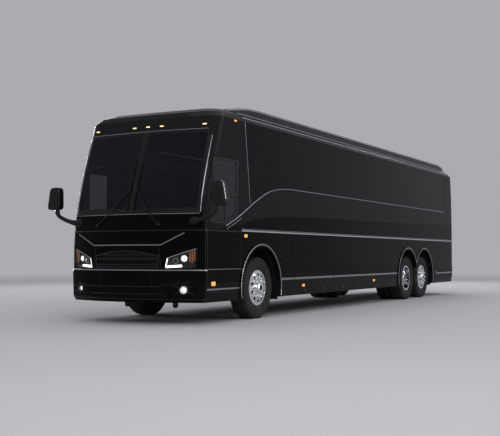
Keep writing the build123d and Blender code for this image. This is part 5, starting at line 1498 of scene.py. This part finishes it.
# ---- springs, shafts, tanks and flaps
BELLOWS = ((0.0, 0.0), (0.0, 0.055), (0.012, 0.060), (0.020, 0.074), (0.040, 0.084), (0.060, 0.080), (0.074, 0.066),
           (0.080, 0.064), (0.086, 0.066), (0.100, 0.080), (0.120, 0.084), (0.140, 0.074), (0.148, 0.060),
           (0.160, 0.055), (0.160, 0.0))
COVER = ((0.0, 0.0), (0.0, 0.062), (0.05, 0.070), (0.085, 0.062), (0.085, 0.0))
PULLEY = ((0.0, 0.0), (0.0, 0.18), (0.03, 0.19), (0.06, 0.18), (0.06, 0.0))
PIPE = ((0.0, 0.052), (0.0, 0.060), (0.34, 0.060), (0.34, 0.052))
with (piece("spring_plates", "steel") as plates,
      piece("spring_bellows", "bellows", replaces=("air_springs",), sharp=60.0) as bm):
    for axle in (FRONT_AXLE_X, DRIVE_AXLE_X, TAG_AXLE_X):
        for along in (-0.24, 0.24):
            for side, name in SIDES:
                foot = Vector((axle + along, side * 0.465, 0.540))
                lathe(bm, BELLOWS, foot, UP, 32)
                for z in (0.0005, 0.152):
                    lathe(plates, drum(0.062, 0.0, 0.007), foot + Vector((0, 0, z)), UP, 32)
with piece("drive_shaft", "steel") as bm:
    rod_between(bm, (TAIL_X + 1.74, 0.0, 0.74), (DRIVE_AXLE_X - 0.19, 0.0, 0.56), 0.055)
    for x, z in ((TAIL_X + 1.80, 0.735), (DRIVE_AXLE_X - 0.24, 0.567)):
        lathe(bm, drum(0.075, -0.05, 0.05), (x, 0, z), (1, 0, -0.06), 24)
with piece("air_tanks", "chassis") as bm:
    for x, y, length in ((ahead(-0.95), 0.25, 0.5), (ahead(-0.95), -0.25, 0.5), (TAG_AXLE_X - 0.85, 0.70, 0.8)):
        end = [(0.0, 0.0), (0.004, 0.06), (0.02, 0.105), (0.05, 0.125)]
        lathe(bm, end + [(length - along, r) for along, r in end[::-1]], (x - length / 2, y, 0.62), FORWARD, 32)
with piece("engine_fittings", "cast") as bm:
    for i in range(6):
        lathe(bm, COVER, (TAIL_X + 0.60 + i * 0.19, 0.0, 1.328), UP, 20)
    for side, name in SIDES:
        block_at(bm, (TAIL_X + 1.085, side * 0.46, 1.17), (0.535, 0.035, 0.05), 0.02)
        for i in range(9):
            block_at(bm, (TAIL_X + 0.53 + i * 0.135, side * 0.433, 0.84), (0.01, 0.010, 0.24), 0.004, 1)
    lathe(bm, PULLEY, (TAIL_X + 0.42, 0.0, 0.80), -FORWARD, 40)
with piece("tail_pipe", "steel") as bm:
    lathe(bm, PIPE, (TAIL_X + 0.14, 0.78, 0.455), FORWARD, 28, closed=True)
with piece("mud_flaps", "rubber") as bm:
    for side, name in SIDES:
        for axle in (FRONT_AXLE_X, TAG_AXLE_X):
            block_at(bm, (axle - 0.735, side * 1.0825, 0.46), (0.005, 0.1525, 0.16), 0.002, 1)

# ---- inside the engine door and the bays
with piece("engine_door_ribs", "bay", "engine_door") as bm:
    for y in (-0.60, 0.0, 0.60):
        block_at(bm, (TAIL_X + 0.093, y, 1.28), (0.010, 0.03, 0.42), 0.005, 1)
with (piece("bay_lights", "cabin_light") as lights,
      piece("bay_floor_ribs", "rubber", slot="floor") as bm):
    for front_x, rear_x in BAYS:
        for k in range(7):
            x = rear_x + 0.20 + k * (front_x - rear_x - 0.40) / 6
            block_at(bm, (x, 0.0, 0.44275), (0.012, 1.20, 0.00325), 0.002, 1)
        block(lights, (rear_x + 0.3, -0.02, 1.372), (front_x - 0.3, 0.02, 1.391), 0.004, 1)

# ---- camera, light and floor
LENS_MM = 65.27
CAMERA_PLACE = (18.7455, 8.5354, 1.0783)
CAMERA_TILT, CAMERA_TURN = 92.387, 118.32
FLOOR_R = 40.0
FADE_FROM_R = 11.0


def make_camera():
    data = bpy.data.cameras.new("camera")
    data.lens = LENS_MM
    data.sensor_width = 36.0
    data.clip_end = 400.0
    camera = new_object("camera", data)
    camera.location = CAMERA_PLACE
    camera.rotation_euler = (math.radians(CAMERA_TILT), 0.0, math.radians(CAMERA_TURN))
    bpy.context.scene.camera = camera


def make_world(shown, lighting):
    """Plain background: one level for what is seen in it, another for the light it gives."""
    world = bpy.data.worlds.new("studio")
    world.use_nodes = True
    bpy.context.scene.world = world
    n = Nodes(world.node_tree)
    path = n.add("ShaderNodeLightPath").outputs
    seen = n.math("MAXIMUM", n.math("MAXIMUM", path["Is Camera Ray"], path["Is Glossy Ray"]),
                  path["Is Transmission Ray"])
    background = world.node_tree.nodes["Background"].inputs
    n.link(n.mix_colour(seen, lighting, shown), background["Color"])
    background["Strength"].default_value = 1.0


def make_floor(colour):
    """Pale floor that keeps the shadow and fades into the background far away."""
    bm = bmesh.new()
    bmesh.ops.create_circle(bm, cap_ends=True, radius=FLOOR_R, segments=96)
    mesh = mesh_of(bm, "floor", recalculate=False)
    f = Finish("studio_floor", colour, Roughness=1.0, Specular_IOR_Level=0.0)
    reach = f.n.add("ShaderNodeVectorMath", {0: f.place}, operation="LENGTH").outputs["Value"]
    f.n.link(f.n.map_range(reach, FADE_FROM_R, FLOOR_R * 0.97, 1.0, 0.0, "SMOOTHSTEP"), f.inputs["Alpha"])
    mesh.materials.append(f.material)
    new_object("floor", mesh)


def soft_light(name, place, target, size, power, only_gloss=False):
    """Wide lamp aimed at a place. Some light only what is glossy."""
    data = bpy.data.lights.new(name, "AREA")
    data.shape = "RECTANGLE"
    data.size, data.size_y = size
    data.energy = power
    light = new_object(name, data)
    light.location = place
    light.rotation_euler = (Vector(target) - Vector(place)).to_track_quat("-Z", "Y").to_euler()
    light.visible_diffuse = not only_gloss


make_camera()
make_world((0.40, 0.41, 0.43), (0.40, 0.40, 0.41))
make_floor((0.62, 0.63, 0.65))
soft_light("key", (17.0, 9.0, 9.0), (4.0, 0.0, 1.6), (9.0, 5.0), 620.0)
soft_light("side_strip", (-3.0, 15.0, 8.0), (-1.0, 0.0, 1.6), (16.0, 3.0), 380.0)
soft_light("far_side_strip", (-3.0, -15.0, 8.0), (-1.0, 0.0, 1.6), (16.0, 3.0), 400.0)
soft_light("overhead", (0.0, 0.0, 12.0), (0.0, 0.0, 0.0), (15.0, 8.0), 300.0)
soft_light("tail_fill", (-17.0, -4.0, 8.0), (-6.0, 0.0, 1.6), (6.0, 4.0), 400.0)
soft_light("left_rim", (4.0, 12.0, 3.0), (6.6, 1.2, 2.4), (0.7, 5.0), 260.0, True)
soft_light("right_rim", (-3.0, -9.5, 3.0), (6.6, -1.2, 2.4), (1.0, 5.0), 420.0, True)
bpy.context.scene.view_settings.view_transform = "Standard"
